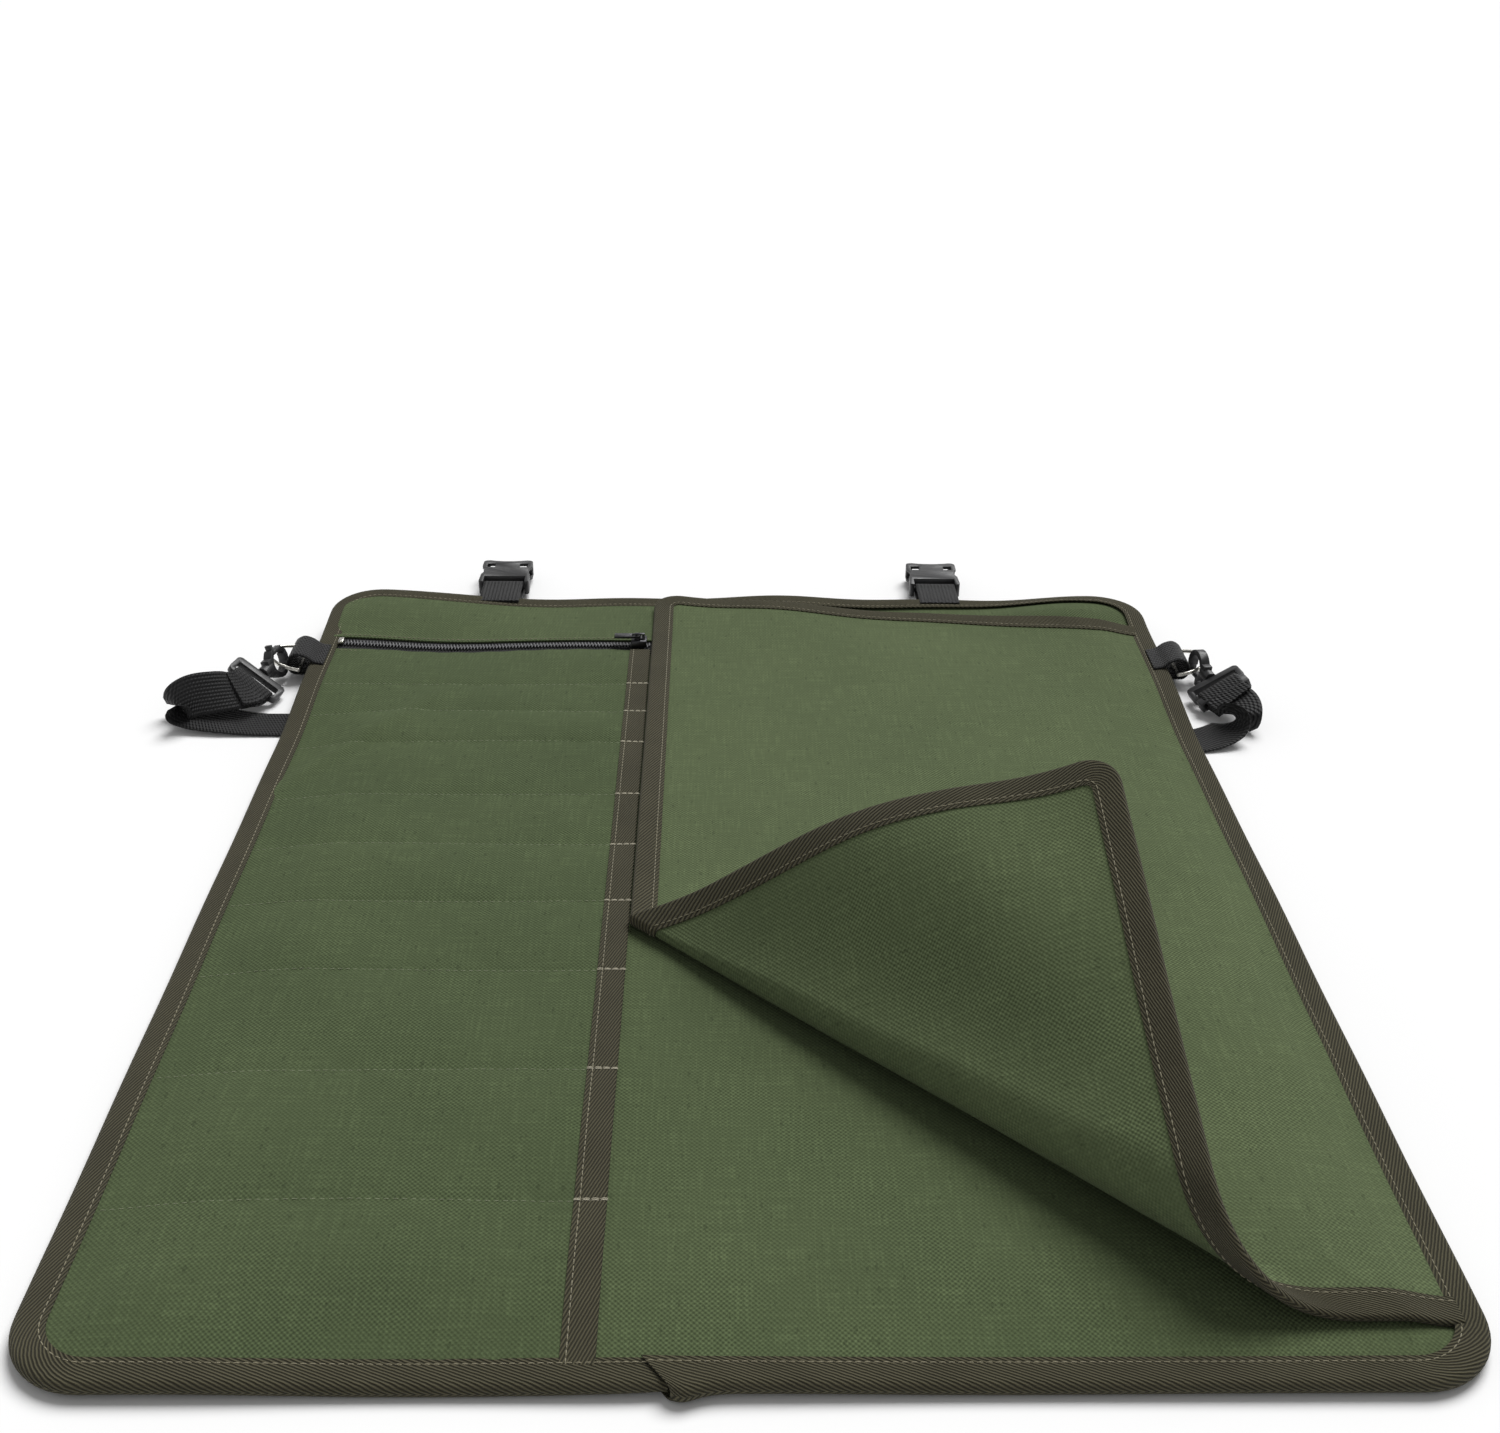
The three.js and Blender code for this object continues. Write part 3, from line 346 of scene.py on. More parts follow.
def webbing(name, centre, across, look, width=WEB_W, thickness=WEB_T, ground=None):
    """A band of webbing with round edges along a line of points."""
    along = unit(np.gradient(centre, axis=0))
    across = unit(across - (across * along).sum(-1, keepdims=True) * along)
    up = np.cross(along, across)
    flat_v = np.linspace(-1, 1, 9)
    edge_r = thickness / 2
    side_v = flat_v * (width / 2 - edge_r)
    edge_a = np.linspace(0.5 * np.pi, -0.5 * np.pi, 6)[1:-1]
    v = np.concatenate([side_v, width / 2 - edge_r + edge_r * np.cos(edge_a),
                        side_v[::-1], -(width / 2 - edge_r + edge_r * np.cos(edge_a))])
    w = np.concatenate([np.full(9, edge_r), edge_r * np.sin(edge_a),
                        np.full(9, -edge_r), -edge_r * np.sin(edge_a)])
    rings = centre[:, None] + v[None, :, None] * across[:, None] + w[None, :, None] * up[:, None]
    if ground is not None:
        layer = np.where(up[:, 2:3] > 0, w[None] + edge_r, edge_r - w[None])
        rings[..., 2] = np.maximum(rings[..., 2], layer + ground)
    return tube(name, rings, look, joined(lengths(centre)[:, None], v).reshape(-1, 2))


def web_loop(name, knots, foot, out, side):
    """Webbing folded round a bar: knots are (outwards, up) points, measured from the foot."""
    path = spline([(a, 0, b) for a, b in knots], 10)
    centre = foot + path[:, :1] * out + path[:, 2:] * UP
    return webbing(name, centre, side, WEBBING)


# ---- Stitching -------------------------------------------------------------------------------


class Rods:
    """Collects short six-sided rods, such as stitches, and makes one object of them."""

    def __init__(self):
        self.points = []
        self.faces = []
        self.count = 0

    def stitches(self, line, up, pitch=3.1, stitch=2.3, radius=0.24, proud=0.16):
        """Running stitches along a line of points on a surface whose normals are up."""
        at = lengths(line)
        up = np.broadcast_to(up, line.shape)
        number = int(at[-1] // pitch)
        for k in range(number):
            start = (k + 0.5) * at[-1] / number - stitch / 2
            steps = start + stitch * np.array([0, 0.18, 0.5, 0.82, 1])
            middle = sampled(line, at, steps)
            normal = unit(sampled(up, at, steps[2]))
            self.stitch(middle, normal, radius, proud)

    def stitch(self, middle, normal, radius, proud):
        """One stitch: its ends dive into the cloth and its middle stands proud."""
        side = np.cross(normal, unit(middle[-1] - middle[0]))
        swell = np.array([0.35, 0.85, 1.0, 0.85, 0.35]) * radius
        rise = np.array([-0.3, 0.55, 1.0, 0.55, -0.3]) * proud
        self.rod(middle + rise[:, None] * normal, swell, side, normal)

    def rod(self, middle, swell, side, up):
        """A rod along a line of points, its radius given at each; side and up span its section."""
        angle = np.arange(6)[:, None] * np.pi / 3
        ring = np.cos(angle) * side + np.sin(angle) * up
        self.points.append((middle[:, None] + swell[:, None, None] * ring).reshape(-1, 3))
        ids = self.count + np.arange(6 * len(middle)).reshape(-1, 6)
        quads = joined(ids[:-1], ids[1:], np.roll(ids[1:], -1, 1), np.roll(ids[:-1], -1, 1))
        self.faces += quads.reshape(-1, 4)[:, ::-1].tolist() + [ids[0].tolist(), ids[-1][::-1].tolist()]
        self.count += ids.size

    def make(self, name, look):
        return piece(name, np.concatenate(self.points), self.faces, look)


# ---- Materials -------------------------------------------------------------------------------


def linear(*srgb):
    """A colour given as 0 to 255 screen values, as the shader wants it."""
    c = np.array(srgb) / 255
    return (*np.where(c <= 0.04045, c / 12.92, ((c + 0.055) / 1.055) ** 2.4), 1.0)


WHITE = (1.0, 1.0, 1.0, 1.0)


class Graph:
    """A material's node tree, with short names for the nodes used here."""

    def __init__(self, name, roughness, **sockets):
        self.material = bpy.data.materials.new(name)
        self.material.use_nodes = True
        self.tree = self.material.node_tree
        self.shader = self.tree.nodes["Principled BSDF"]
        self.shader.inputs["Roughness"].default_value = roughness
        for key, value in sockets.items():
            self.shader.inputs[key.replace("_", " ")].default_value = value

    def node(self, kind, **settings):
        made = self.tree.nodes.new("ShaderNode" + kind)
        for key, value in settings.items():
            setattr(made, key, value)
        return made

    def feed(self, socket, value):
        if isinstance(value, bpy.types.NodeSocket):
            self.tree.links.new(value, socket)
        else:
            socket.default_value = value

    def math(self, operation, a, b=0.0):
        made = self.node("Math", operation=operation)
        self.feed(made.inputs[0], a)
        self.feed(made.inputs[1], b)
        return made.outputs[0]

    def plus(self, a, b):
        return self.math("ADD", a, b)

    def times(self, a, b):
        return self.math("MULTIPLY", a, b)

    def zero_to_one(self, wave):
        """A wave that runs from -1 to 1, made to run from 0 to 1."""
        return self.plus(self.times(wave, 0.5), 0.5)

    def scaled(self, vector, by):
        made = self.node("VectorMath", operation="MULTIPLY")
        self.feed(made.inputs[0], vector)
        made.inputs[1].default_value = by
        return made.outputs[0]

    def cloth(self):
        return self.node("Attribute", attribute_name="cloth").outputs["Vector"]

    def place(self):
        return self.node("TexCoord").outputs["Object"]

    def parts(self, vector):
        split = self.node("SeparateXYZ")
        self.feed(split.inputs[0], vector)
        return split.outputs[0], split.outputs[1]

    def noise(self, vector, scale, detail, spread=0.5):
        made = self.node("TexNoise")
        self.feed(made.inputs["Vector"], vector)
        made.inputs["Scale"].default_value = scale
        made.inputs["Detail"].default_value = detail
        made.inputs["Roughness"].default_value = spread
        return made.outputs["Fac"]

    def ramp(self, value, *stops):
        made = self.node("ValToRGB")
        self.feed(made.inputs[0], value)
        elements = made.color_ramp.elements
        while len(elements) < len(stops):
            elements.new(0.5)
        for element, (at, colour) in zip(elements, stops):
            element.position = at
            element.color = colour
        return made.outputs[0]

    def mix(self, share, a, b, blend="MIX"):
        made = self.node("Mix", data_type="RGBA", blend_type=blend)
        self.feed(made.inputs[0], share)
        self.feed(made.inputs[6], a)
        self.feed(made.inputs[7], b)
        return made.outputs[2]

    def shades(self, value, colour, *stops):
        """A ramp from shade to shade of one colour."""
        return self.ramp(value, *((at, shade(colour, level)) for at, level in stops))

    def tinted(self, share, tone, value, *stops):
        """A tone made darker and lighter by a ramp of greys, as far as the share says."""
        return self.mix(share, tone, self.shades(value, WHITE, *stops), "MULTIPLY")

    def bump(self, height, distance):
        made = self.node("Bump")
        made.inputs["Strength"].default_value = 1.0
        made.inputs["Distance"].default_value = distance
        self.feed(made.inputs["Height"], height)
        self.tree.links.new(made.outputs[0], self.shader.inputs["Normal"])

    def colour(self, value):
        self.feed(self.shader.inputs["Base Color"], value)


def shade(colour, level):
    return (*(c * level for c in colour[:3]), 1.0)


# How far the weave stands out, in metres
CANVAS_RELIEF = 0.00026
TWILL_RELIEF = 0.00045
WEB_RELIEF = 0.00035
RIB = 1.18                      # the herringbone's ribs: their spacing, in millimetres
RIB_LEAN = 2.3                  # and how far they run along the tape for each one across


def canvas(name, colour):
    """Plain-weave cotton duck: threads cross over and under, with slubs, nap and uneven dye, and with
    painted shade in the gaps between threads and a painted highlight on their crowns.
    """
    g = Graph(name, 0.95, Sheen_Weight=0.03, Sheen_Roughness=0.6, Specular_IOR_Level=0.08)
    flat = g.cloth()
    drift = g.noise(flat, 0.11, 1.0)
    x, y = g.parts(flat)
    x = g.plus(x, g.times(drift, 1.6))
    y = g.plus(y, g.times(drift, -1.3))
    over = g.times(g.math("COSINE", g.times(x, math.pi)), g.math("COSINE", g.times(y, math.pi)))
    warp = g.noise(g.scaled(flat, (1, 0.06, 0)), 0.9, 1.0)
    weft = g.noise(g.scaled(flat, (0.06, 1, 0)), 0.9, 1.0)
    slub = g.math("SUBTRACT", g.plus(warp, weft), 1.0)
    fibre = g.noise(flat, 3.5, 3.0, 0.7)
    height = g.plus(g.times(over, 0.5), g.times(fibre, 0.35))
    g.bump(g.plus(height, g.times(slub, 0.6)), CANVAS_RELIEF)
    # Painted shade and highlight: the weave's height sets the tone, darker in the gaps between threads
    # and lighter on their crowns.
    tone = g.shades(g.zero_to_one(over), colour, (0.0, 0.55), (0.5, 0.97), (1.0, 1.36))
    # Large patches set how strongly the painted weave shade and highlight show; elsewhere the cloth
    # tends to a plain colour.
    weave_shade_patches = g.shades(g.noise(flat, 0.02, 2.0), WHITE, (0.38, 0.35), (0.62, 1.0))
    tone = g.mix(weave_shade_patches, shade(colour, 0.965), tone)
    tone = g.tinted(0.8, tone, slub, (0.0, 0.86), (0.3, 1.12))
    dye = g.ramp(g.noise(flat, 0.013, 3.0), (0.3, (0.9, 0.91, 0.9, 1)), (0.7, (1.08, 1.07, 1.06, 1)))
    tone = g.mix(0.7, tone, dye, "MULTIPLY")
    fleck = g.noise(g.scaled(flat, (0.55, 0.2, 0)), 1.0, 0.0)
    flecked = g.times(g.math("GREATER_THAN", fleck, 0.765), 0.4)
    g.colour(g.mix(flecked, tone, shade(colour, 0.4)))
    return g.material


def twill(name, colour):
    """Herringbone tape: slanting ribs, mirrored about the tape's middle, with painted shade in the
    grooves and a painted highlight on the ribs.
    """
    g = Graph(name, 0.9, Sheen_Weight=0.05, Sheen_Roughness=0.5, Specular_IOR_Level=0.15)
    flat = g.cloth()
    along, across = g.parts(flat)
    wobble = g.times(g.noise(flat, 0.35, 1.0), 0.9)
    slant = g.plus(g.plus(along, g.times(g.math("ABSOLUTE", across), RIB_LEAN)), wobble)
    wave = g.math("SINE", g.times(slant, 2 * math.pi / RIB / math.hypot(1, RIB_LEAN)))
    yarn = g.noise(g.scaled(flat, (2.2, 2.2, 0)), 1.2, 2.0, 0.7)
    g.bump(g.plus(g.times(wave, 0.5), g.times(yarn, 0.5)), TWILL_RELIEF)
    # Painted shade and highlight: the ribs' height sets the tone, dark in the grooves and light on the
    # ribs' tops.
    tone = g.shades(g.zero_to_one(wave), colour, (0.0, 0.36), (0.45, 1.0), (1.0, 1.75))
    tone = g.tinted(0.7, tone, g.noise(flat, 0.05, 2.0), (0.3, 0.88), (0.7, 1.1))
    g.colour(g.tinted(0.5, tone, yarn, (0.2, 0.8), (0.8, 1.15)))
    return g.material


def web_material(name, colour):
    """Woven nylon webbing: rows of small slanting picks, with a soft shine."""
    g = Graph(name, 0.6, Sheen_Weight=0.06, Sheen_Roughness=0.35, Specular_IOR_Level=0.3)
    flat = g.cloth()
    along, across = g.parts(flat)
    pick = g.math("SINE", g.times(g.plus(along, g.times(across, 0.5)), 3.6))
    row = g.math("COSINE", g.times(across, 2.9))
    weave = g.times(g.plus(pick, row), 0.5)
    fibre = g.noise(g.scaled(flat, (4.0, 1.4, 0)), 1.0, 2.0)
    g.bump(g.plus(weave, g.times(fibre, 0.4)), WEB_RELIEF)
    # Painted shade and highlight: the weave's height sets the tone, darker in its hollows and lighter
    # on its raised picks.
    g.colour(g.shades(g.zero_to_one(weave), colour, (0.1, 0.45), (0.9, 1.7)))
    return g.material


def moulded(name, colour, roughness=0.42):
    """Moulded nylon: a fine spark-eroded grain, with faint scuffs that change its gloss."""
    g = Graph(name, roughness, Specular_IOR_Level=0.5)
    where = g.place()
    scuff = g.noise(where, 160, 4.0, 0.7)
    g.bump(g.noise(where, 2600, 2.0), 0.00003)
    rough = g.shades(scuff, WHITE, (0.35, roughness - 0.06), (0.75, roughness + 0.2))
    g.feed(g.shader.inputs["Roughness"], rough)
    g.colour(g.shades(scuff, colour, (0.3, 0.85), (0.8, 1.25)))
    return g.material


def metal(name, colour, roughness=0.2):
    """Plated steel wire or sheet with hairline wear."""
    g = Graph(name, roughness, Metallic=1.0)
    wear = g.noise(g.place(), 420, 5.0, 0.75)
    g.bump(wear, 0.00002)
    rough = g.shades(wear, WHITE, (0.3, roughness), (0.8, roughness + 0.22))
    g.feed(g.shader.inputs["Roughness"], rough)
    g.colour(g.shades(wear, colour, (0.25, 0.8), (0.6, 1.0)))
    return g.material


def thread(name, colour):
    """Spun sewing thread: two plies twisted together."""
    g = Graph(name, 0.75, Sheen_Weight=0.2)
    ply = g.noise(g.place(), 2400, 1.0)
    g.bump(ply, 0.0001)
    g.colour(g.shades(ply, colour, (0.3, 0.7), (0.7, 1.15)))
    return g.material


CANVAS = canvas("canvas", linear(87, 99, 69))
POCKET_CANVAS = canvas("pocket_canvas", linear(82, 94, 65))
FLAP_CANVAS = canvas("flap_canvas", linear(93, 105, 74))
BINDING = twill("binding_twill", linear(69, 66, 51))
WEBBING = web_material("webbing_nylon", linear(19, 19, 20))
ZIP_TAPE = web_material("zip_tape_weave", linear(16, 16, 17))
ZIP_NYLON = moulded("zip_nylon", linear(66, 66, 68), 0.38)
PLASTIC = moulded("moulded_nylon", linear(43, 43, 44))
STEEL = metal("plated_steel", linear(214, 212, 204))
ENAMEL = metal("slider_enamel", linear(70, 70, 72), 0.32)
KHAKI_THREAD = thread("khaki_thread", linear(136, 130, 106))
PALE_THREAD = thread("pale_thread", linear(196, 190, 168))
GREEN_THREAD = thread("green_thread", linear(134, 142, 112))

# ---- Base sheet ------------------------------------------------------------------------------


def rounded_half_width(y, half_w, half_d, radius):
    """Half the width of a rounded rectangle at y."""
    past = np.clip(np.abs(y) - (half_d - radius), 0, radius)
    return half_w - radius + np.sqrt(np.maximum(radius ** 2 - past ** 2, 0))


def panel_grid(y, right, columns):
    """A grid from the panels' left edge to x = right, with a row at each y."""
    half = rounded_half_width(y, HALF_W - PANEL_INSET, HALF_D - PANEL_INSET, CORNER_R - PANEL_INSET)
    x = -half[None] + np.linspace(0, 1, columns)[:, None] * (right + half)[None]
    return np.broadcast_arrays(x, y)


def cloth_layer(name, x, y, low, thickness, cloth, look):
    """A piece of cloth over a grid, from its underside's height and its thickness."""
    return slab(name, joined(x, y, low + thickness), joined(x, y, low), cloth, look)


def rows_from(low, high, count):
    """Rows that crowd a little towards both ends."""
    t = np.linspace(0, 1, count)
    return low + (high - low) * (t - 0.06 * np.sin(2 * np.pi * t))


def base_panel():
    inset = 3
    half_d = HALF_D - inset
    y = rows_from(-half_d, half_d, 110)
    half = rounded_half_width(y, HALF_W - inset, half_d, CORNER_R - inset)
    x = np.linspace(-1, 1, 90)[:, None] * half[None]
    low = BASE_LOW + settle(x, y)
    made = cloth_layer("base_sheet", x, y, low, BASE_TOP - BASE_LOW, joined(x, y), CANVAS)
    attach(made, "sheet")
    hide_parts("base_panel")


def corner_arc(centre, radius, start, end, count):
    a = np.radians(np.linspace(start, end, count))
    return joined(centre[0] + radius * np.cos(a), centre[1] + radius * np.sin(a))


PLEAT_X = -38.0                 # where the binding's ends overlap on the front edge


def sheet_stations(inset):
    """The sheet's outline from the pleat round to a little past it, anticlockwise."""
    x = HALF_W - CORNER_R
    y = HALF_D - CORNER_R
    r = CORNER_R - inset

    def straight(a, b, count):
        return np.linspace(a, b, count, endpoint=False)

    return np.concatenate([
        straight((PLEAT_X, -y - r), (x, -y - r), 90), corner_arc((x, -y), r, -90, 0, 14)[:-1],
        straight((x + r, -y), (x + r, y), 150), corner_arc((x, y), r, 0, 90, 14)[:-1],
        straight((x, y + r), (-x, y + r), 130), corner_arc((-x, y), r, 90, 180, 14)[:-1],
        straight((-x - r, y), (-x - r, -y), 150), corner_arc((-x, -y), r, 180, 270, 14)[:-1],
        np.linspace((-x, -y - r), (PLEAT_X + 9, -y - r), 60),
    ])


STITCH_IN = 0.82                # stitch line's share of the way across the tape
THREAD_LIFT = 0.04              # a stitch's middle line lies this far above the tape
SHEET_MID = (BASE_LOW + BASE_TOP) / 2
EDGE_ABOVE = (BASE_TOP - BASE_LOW) / 2 + 1.25
EDGE_BELOW = (BASE_TOP - BASE_LOW) / 2 + 0.05


def on_sheet(x, y, lift):
    return joined(x, y, SHEET_MID + lift + settle(x, y))


def edge_binding(threads):
    outer = sheet_stations(0)
    inner = sheet_stations(TAPE_W)
    start = lengths(outer)
    finish = start[-1] - start
    outer[:, 0] += 9 * np.exp(-start / 14)
    out = 3.4 * bump(start - 7, 11) - 0.6 * np.exp(-finish / 9)
    lift = 0.9 * np.exp(-start / 16) - 0.75 * np.exp(-finish / 12)
    profile = tape_profile(EDGE_ABOVE, EDGE_BELOW)
    made = tape("edge_tape", outer, inner, on_sheet, BINDING, profile, flare=(out, lift))
    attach(made, "sheet")
    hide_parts("edge_binding")
    line = outer + STITCH_IN * (inner - outer)
    high = EDGE_ABOVE + TAPE_T + THREAD_LIFT + np.maximum(lift, 0)
    threads.stitches(on_sheet(line[:, 0], line[:, 1], high), UP)
    low = EDGE_BELOW + TAPE_T + THREAD_LIFT
    threads.stitches(on_sheet(line[:, 0], line[:, 1], -low), -UP)


# ---- Tool pockets ----------------------------------------------------------------------------

POCKET_LOW = BASE_TOP + 0.25


def pocket_z(x, y):
    """Underside of the pocket cloth."""
    return POCKET_LOW + settle(x, y) + puff(x, y)


def pocket_panel(threads):
    front = -HALF_D + PANEL_INSET
    back = POCKET_BACK + 1.5
    x, y = panel_grid(np.linspace(front, back, 330), POCKET_MOUTH_X - 1, 96)
    cloth = joined(x + 3, y + 7)
    made = cloth_layer("pocket_cloth", x, y, pocket_z(x, y), CLOTH_T, cloth, POCKET_CANVAS)
    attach(made, "sheet")
    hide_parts("pocket_panel")
    for k, seam in enumerate(POCKET_SEAMS):
        x = np.linspace(-HALF_W + TAPE_W + 1, POCKET_MOUTH_X - TAPE_W, 120)
        y = seam + 0.5 * np.sin(x / 31 + k)
        threads.stitches(joined(x, y, pocket_z(x, y) + CLOTH_T), UP, 3.3, 2.2, 0.17, 0.1)


MOUTH_ABOVE = 0.52              # the heights over and under the cloth's middle that the
MOUTH_BELOW = 0.1               # mouth's tape lies on


def pocket_mouth(threads, tacks):
    y = np.linspace(-HALF_D + 9, POCKET_BACK + 1.5, 330)
    outer = joined(POCKET_MOUTH_X, y)
    inner = joined(POCKET_MOUTH_X - TAPE_W, y)

    def on_pocket(x, y, lift):
        rise = pocket_z(np.minimum(x, POCKET_MOUTH_X), y)
        return joined(x, y, rise + CLOTH_T / 2 + lift)

    made = tape("pocket_mouth_tape", outer, inner, on_pocket, BINDING,
                tape_profile(MOUTH_ABOVE, MOUTH_BELOW, 0.1, 1.0))
    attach(made, "sheet")
    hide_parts("pocket_mouth_binding")
    line = on_pocket(POCKET_MOUTH_X - STITCH_IN * TAPE_W, y, MOUTH_ABOVE + TAPE_T + THREAD_LIFT)
    threads.stitches(line, UP)
    for seam in POCKET_SEAMS:
        for slip in (-0.35, 0.35):
            x = np.linspace(POCKET_MOUTH_X + 0.6, POCKET_MOUTH_X - TAPE_W - 0.5, 14)
            line = on_pocket(x, seam + slip, MOUTH_ABOVE + TAPE_T + 0.12)
            tacks.stitches(line, UP, 3.2, 2.9, 0.22, 0.18)


# ---- Zipped pocket ---------------------------------------------------------------------------

ZIP_TAPE_TOP = BASE_TOP + 0.95
COIL_PITCH = 1.9
COIL_R = 0.7


def zip_panel(threads):
    front = ZIP_Y + ZIP_HALF - 1
    back = HALF_D - PANEL_INSET
    x, y = panel_grid(np.linspace(front, back, 40), ZIP_RIGHT, 90)
    swell = 1.1 * np.sin(np.pi * np.clip((y - front) / (back - front), 0, 1)) ** 0.7
    low = BASE_TOP + 0.3 + swell + settle(x, y) + 0.9 * (1 - smooth(0, 5, y - front))
    made = cloth_layer("zip_pocket_cloth", x, y, low, CLOTH_T, joined(x + 3, y - 5), CANVAS)
    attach(made, "sheet")
    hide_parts("zip_pocket_panel")
    for edge, rise in ((front + 1.8, 2.35), (POCKET_BACK - 0.6, 1.32)):
        x = np.linspace(ZIP_LEFT + 1, POCKET_MOUTH_X - 1, 160)
        line = joined(x, edge, BASE_TOP + rise + settle(x, edge))
        threads.stitches(line, UP, 2.9, 2.1, 0.2, 0.14)


def zip_tapes():
    for side, sign in (("front", -1), ("back", 1)):
        x = np.linspace(ZIP_LEFT, ZIP_RIGHT, 120)[:, None]
        across = np.linspace(0.25, ZIP_HALF + 1.5, 7)
        y = ZIP_Y + sign * across
        low = ZIP_TAPE_TOP - TAPE_T + settle(x, y)
        cloth = joined(x, across * 0.8)
        made = cloth_layer(f"zip_cloth_{side}", x, y, low, TAPE_T, cloth, ZIP_TAPE)
        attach(made, "sheet")
        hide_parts(f"zip_tape_{side}")


def zip_coil(side, sign):
    """One row of coil: each turn is a short bowed rod that hooks past the zip's middle."""
    start = ZIP_LEFT + 4 + (0.5 * COIL_PITCH if sign > 0 else 0)
    t = np.linspace(0, 1, 6)
    swell = COIL_R * np.array([0.5, 0.9, 1.0, 1.0, 1.15, 0.8])
    turns = Rods()
    for k in range(int((ZIP_RIGHT - 8 - ZIP_LEFT) / COIL_PITCH)):
        x = start + k * COIL_PITCH + 0.25 * t
        y = ZIP_Y + sign * (2.9 - 3.5 * t)
        z = ZIP_TAPE_TOP + 0.35 + 0.75 * np.sin(np.pi * (0.2 + 0.7 * t)) + settle(x, y)
        turns.rod(joined(x, y, z), swell, RIGHT, -sign * UP)
    made = turns.make(f"zip_coil_turns_{side}", ZIP_NYLON)
    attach(made, "sheet")
    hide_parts(f"zip_coil_{side}")


# ---- Cover flap ------------------------------------------------------------------------------

HOLD_AT = 122.0                 # the hand's hold on the corner's edge, from the fold's tip
HOLD_RISE = 5.0
PINCH = 2.6                     # the fold's tip stands up this far
RIPPLE = 0.9
TUCK = 1.9                      # the flap's right edge is held down this far by its seam
BACK_RISE = 3.0                 # its back left corner is raised by this much
ARCH = 12.0                     # how far the turned corner bellies out between fold and edge
ARCH_SPAN = 143.0               # from the fold's last ruling to the corner's tip


def flap_point(x, y, lift):
    """Where a point of the flat flap goes; lift is its height above the middle of the cloth."""
    x, y, lift = np.broadcast_arrays(np.asarray(x, float), y, lift)
    flat = joined(x - APEX[0], y - APEX[1], np.zeros_like(x))
    past = FOLD_START - np.arctan2(flat[..., 1], flat[..., 0])
    bend = np.clip(past, 0, FOLD_SECTOR)
    reach = np.hypot(flat[..., 0], flat[..., 1])
    flat = turned(flat, UP, bend)
    away = reach * np.sin(np.clip(past - FOLD_SECTOR, 0, math.pi / 2))
    belly = ARCH * np.sin(np.pi * np.clip(away / ARCH_SPAN, 0, 1)) ** 2 * smooth(0, 70, y - FLAP_FRONT)
    flat[..., 2] = lift - belly
    p = turned(flat, CONE_AXIS, -bend / FOLD_SECTOR * FOLD_TURN) + APEX
    over = bend / FOLD_SECTOR
    from_tip = APEX[1] - y
    hold = HOLD_RISE * bump(from_tip - HOLD_AT, 62) * bump(x - FLAP_LEFT, 70) * smooth(0.4, 1, over)
    pinch = PINCH * bump(reach, 24) * smooth(0, 1, over)
    ripple = RIPPLE * np.sin(x / 17 + 0.5) * np.sin(y / 23)
    ripple = ripple * smooth(60, 130, reach) * smooth(0.6, 1, over)
    near_ground = 1 - smooth(14, 45, p[..., 2])
    tuck = TUCK * smooth(HINGE_STRIP_X - 6, FLAP_RIGHT + 1, x)
    raised = BACK_RISE * bump(np.hypot(x - FLAP_LEFT, y - FLAP_BACK_LEFT), 34)
    p[..., 2] += hold + pinch + ripple + raised
    p[..., 2] += (settle(p[..., 0], p[..., 1]) - tuck) * near_ground
    return p


def flap_normal(x, y):
    """The flap's upper face's normal, as it lies before folding."""
    e = 0.4
    run = flap_point(x + e, y, 0.0) - flap_point(x - e, y, 0.0)
    rise = flap_point(x, y + e, 0.0) - flap_point(x, y - e, 0.0)
    return unit(np.cross(run, rise))


SLOPE = (FLAP_BACK_RIGHT - FLAP_BACK_LEFT) / (FLAP_RIGHT - FLAP_LEFT)


def flap_back(x):
    return FLAP_BACK_LEFT + (x - FLAP_LEFT) * SLOPE


BACK_CORNER = (FLAP_LEFT + FLAP_CORNER_R,
               flap_back(FLAP_LEFT + FLAP_CORNER_R) - FLAP_CORNER_R * math.hypot(1, SLOPE))
FRONT_CORNER = (FLAP_LEFT + FLAP_CORNER_R, FLAP_FRONT + FLAP_CORNER_R)
CLOTH_INSET = 1.0
HALF_FLAP = FLAP_T / 2


def ruling_x(past, y):
    return APEX[0] + (y - APEX[1]) / np.tan(FOLD_START - past)


def flap_cloth(name, x, y):
    top = flap_point(x, y, HALF_FLAP)
    bottom = flap_point(x, y, -HALF_FLAP)
    normal = flap_normal(x, y)
    return slab(name, top, bottom, joined(x, y), FLAP_CANVAS, normal, -normal)


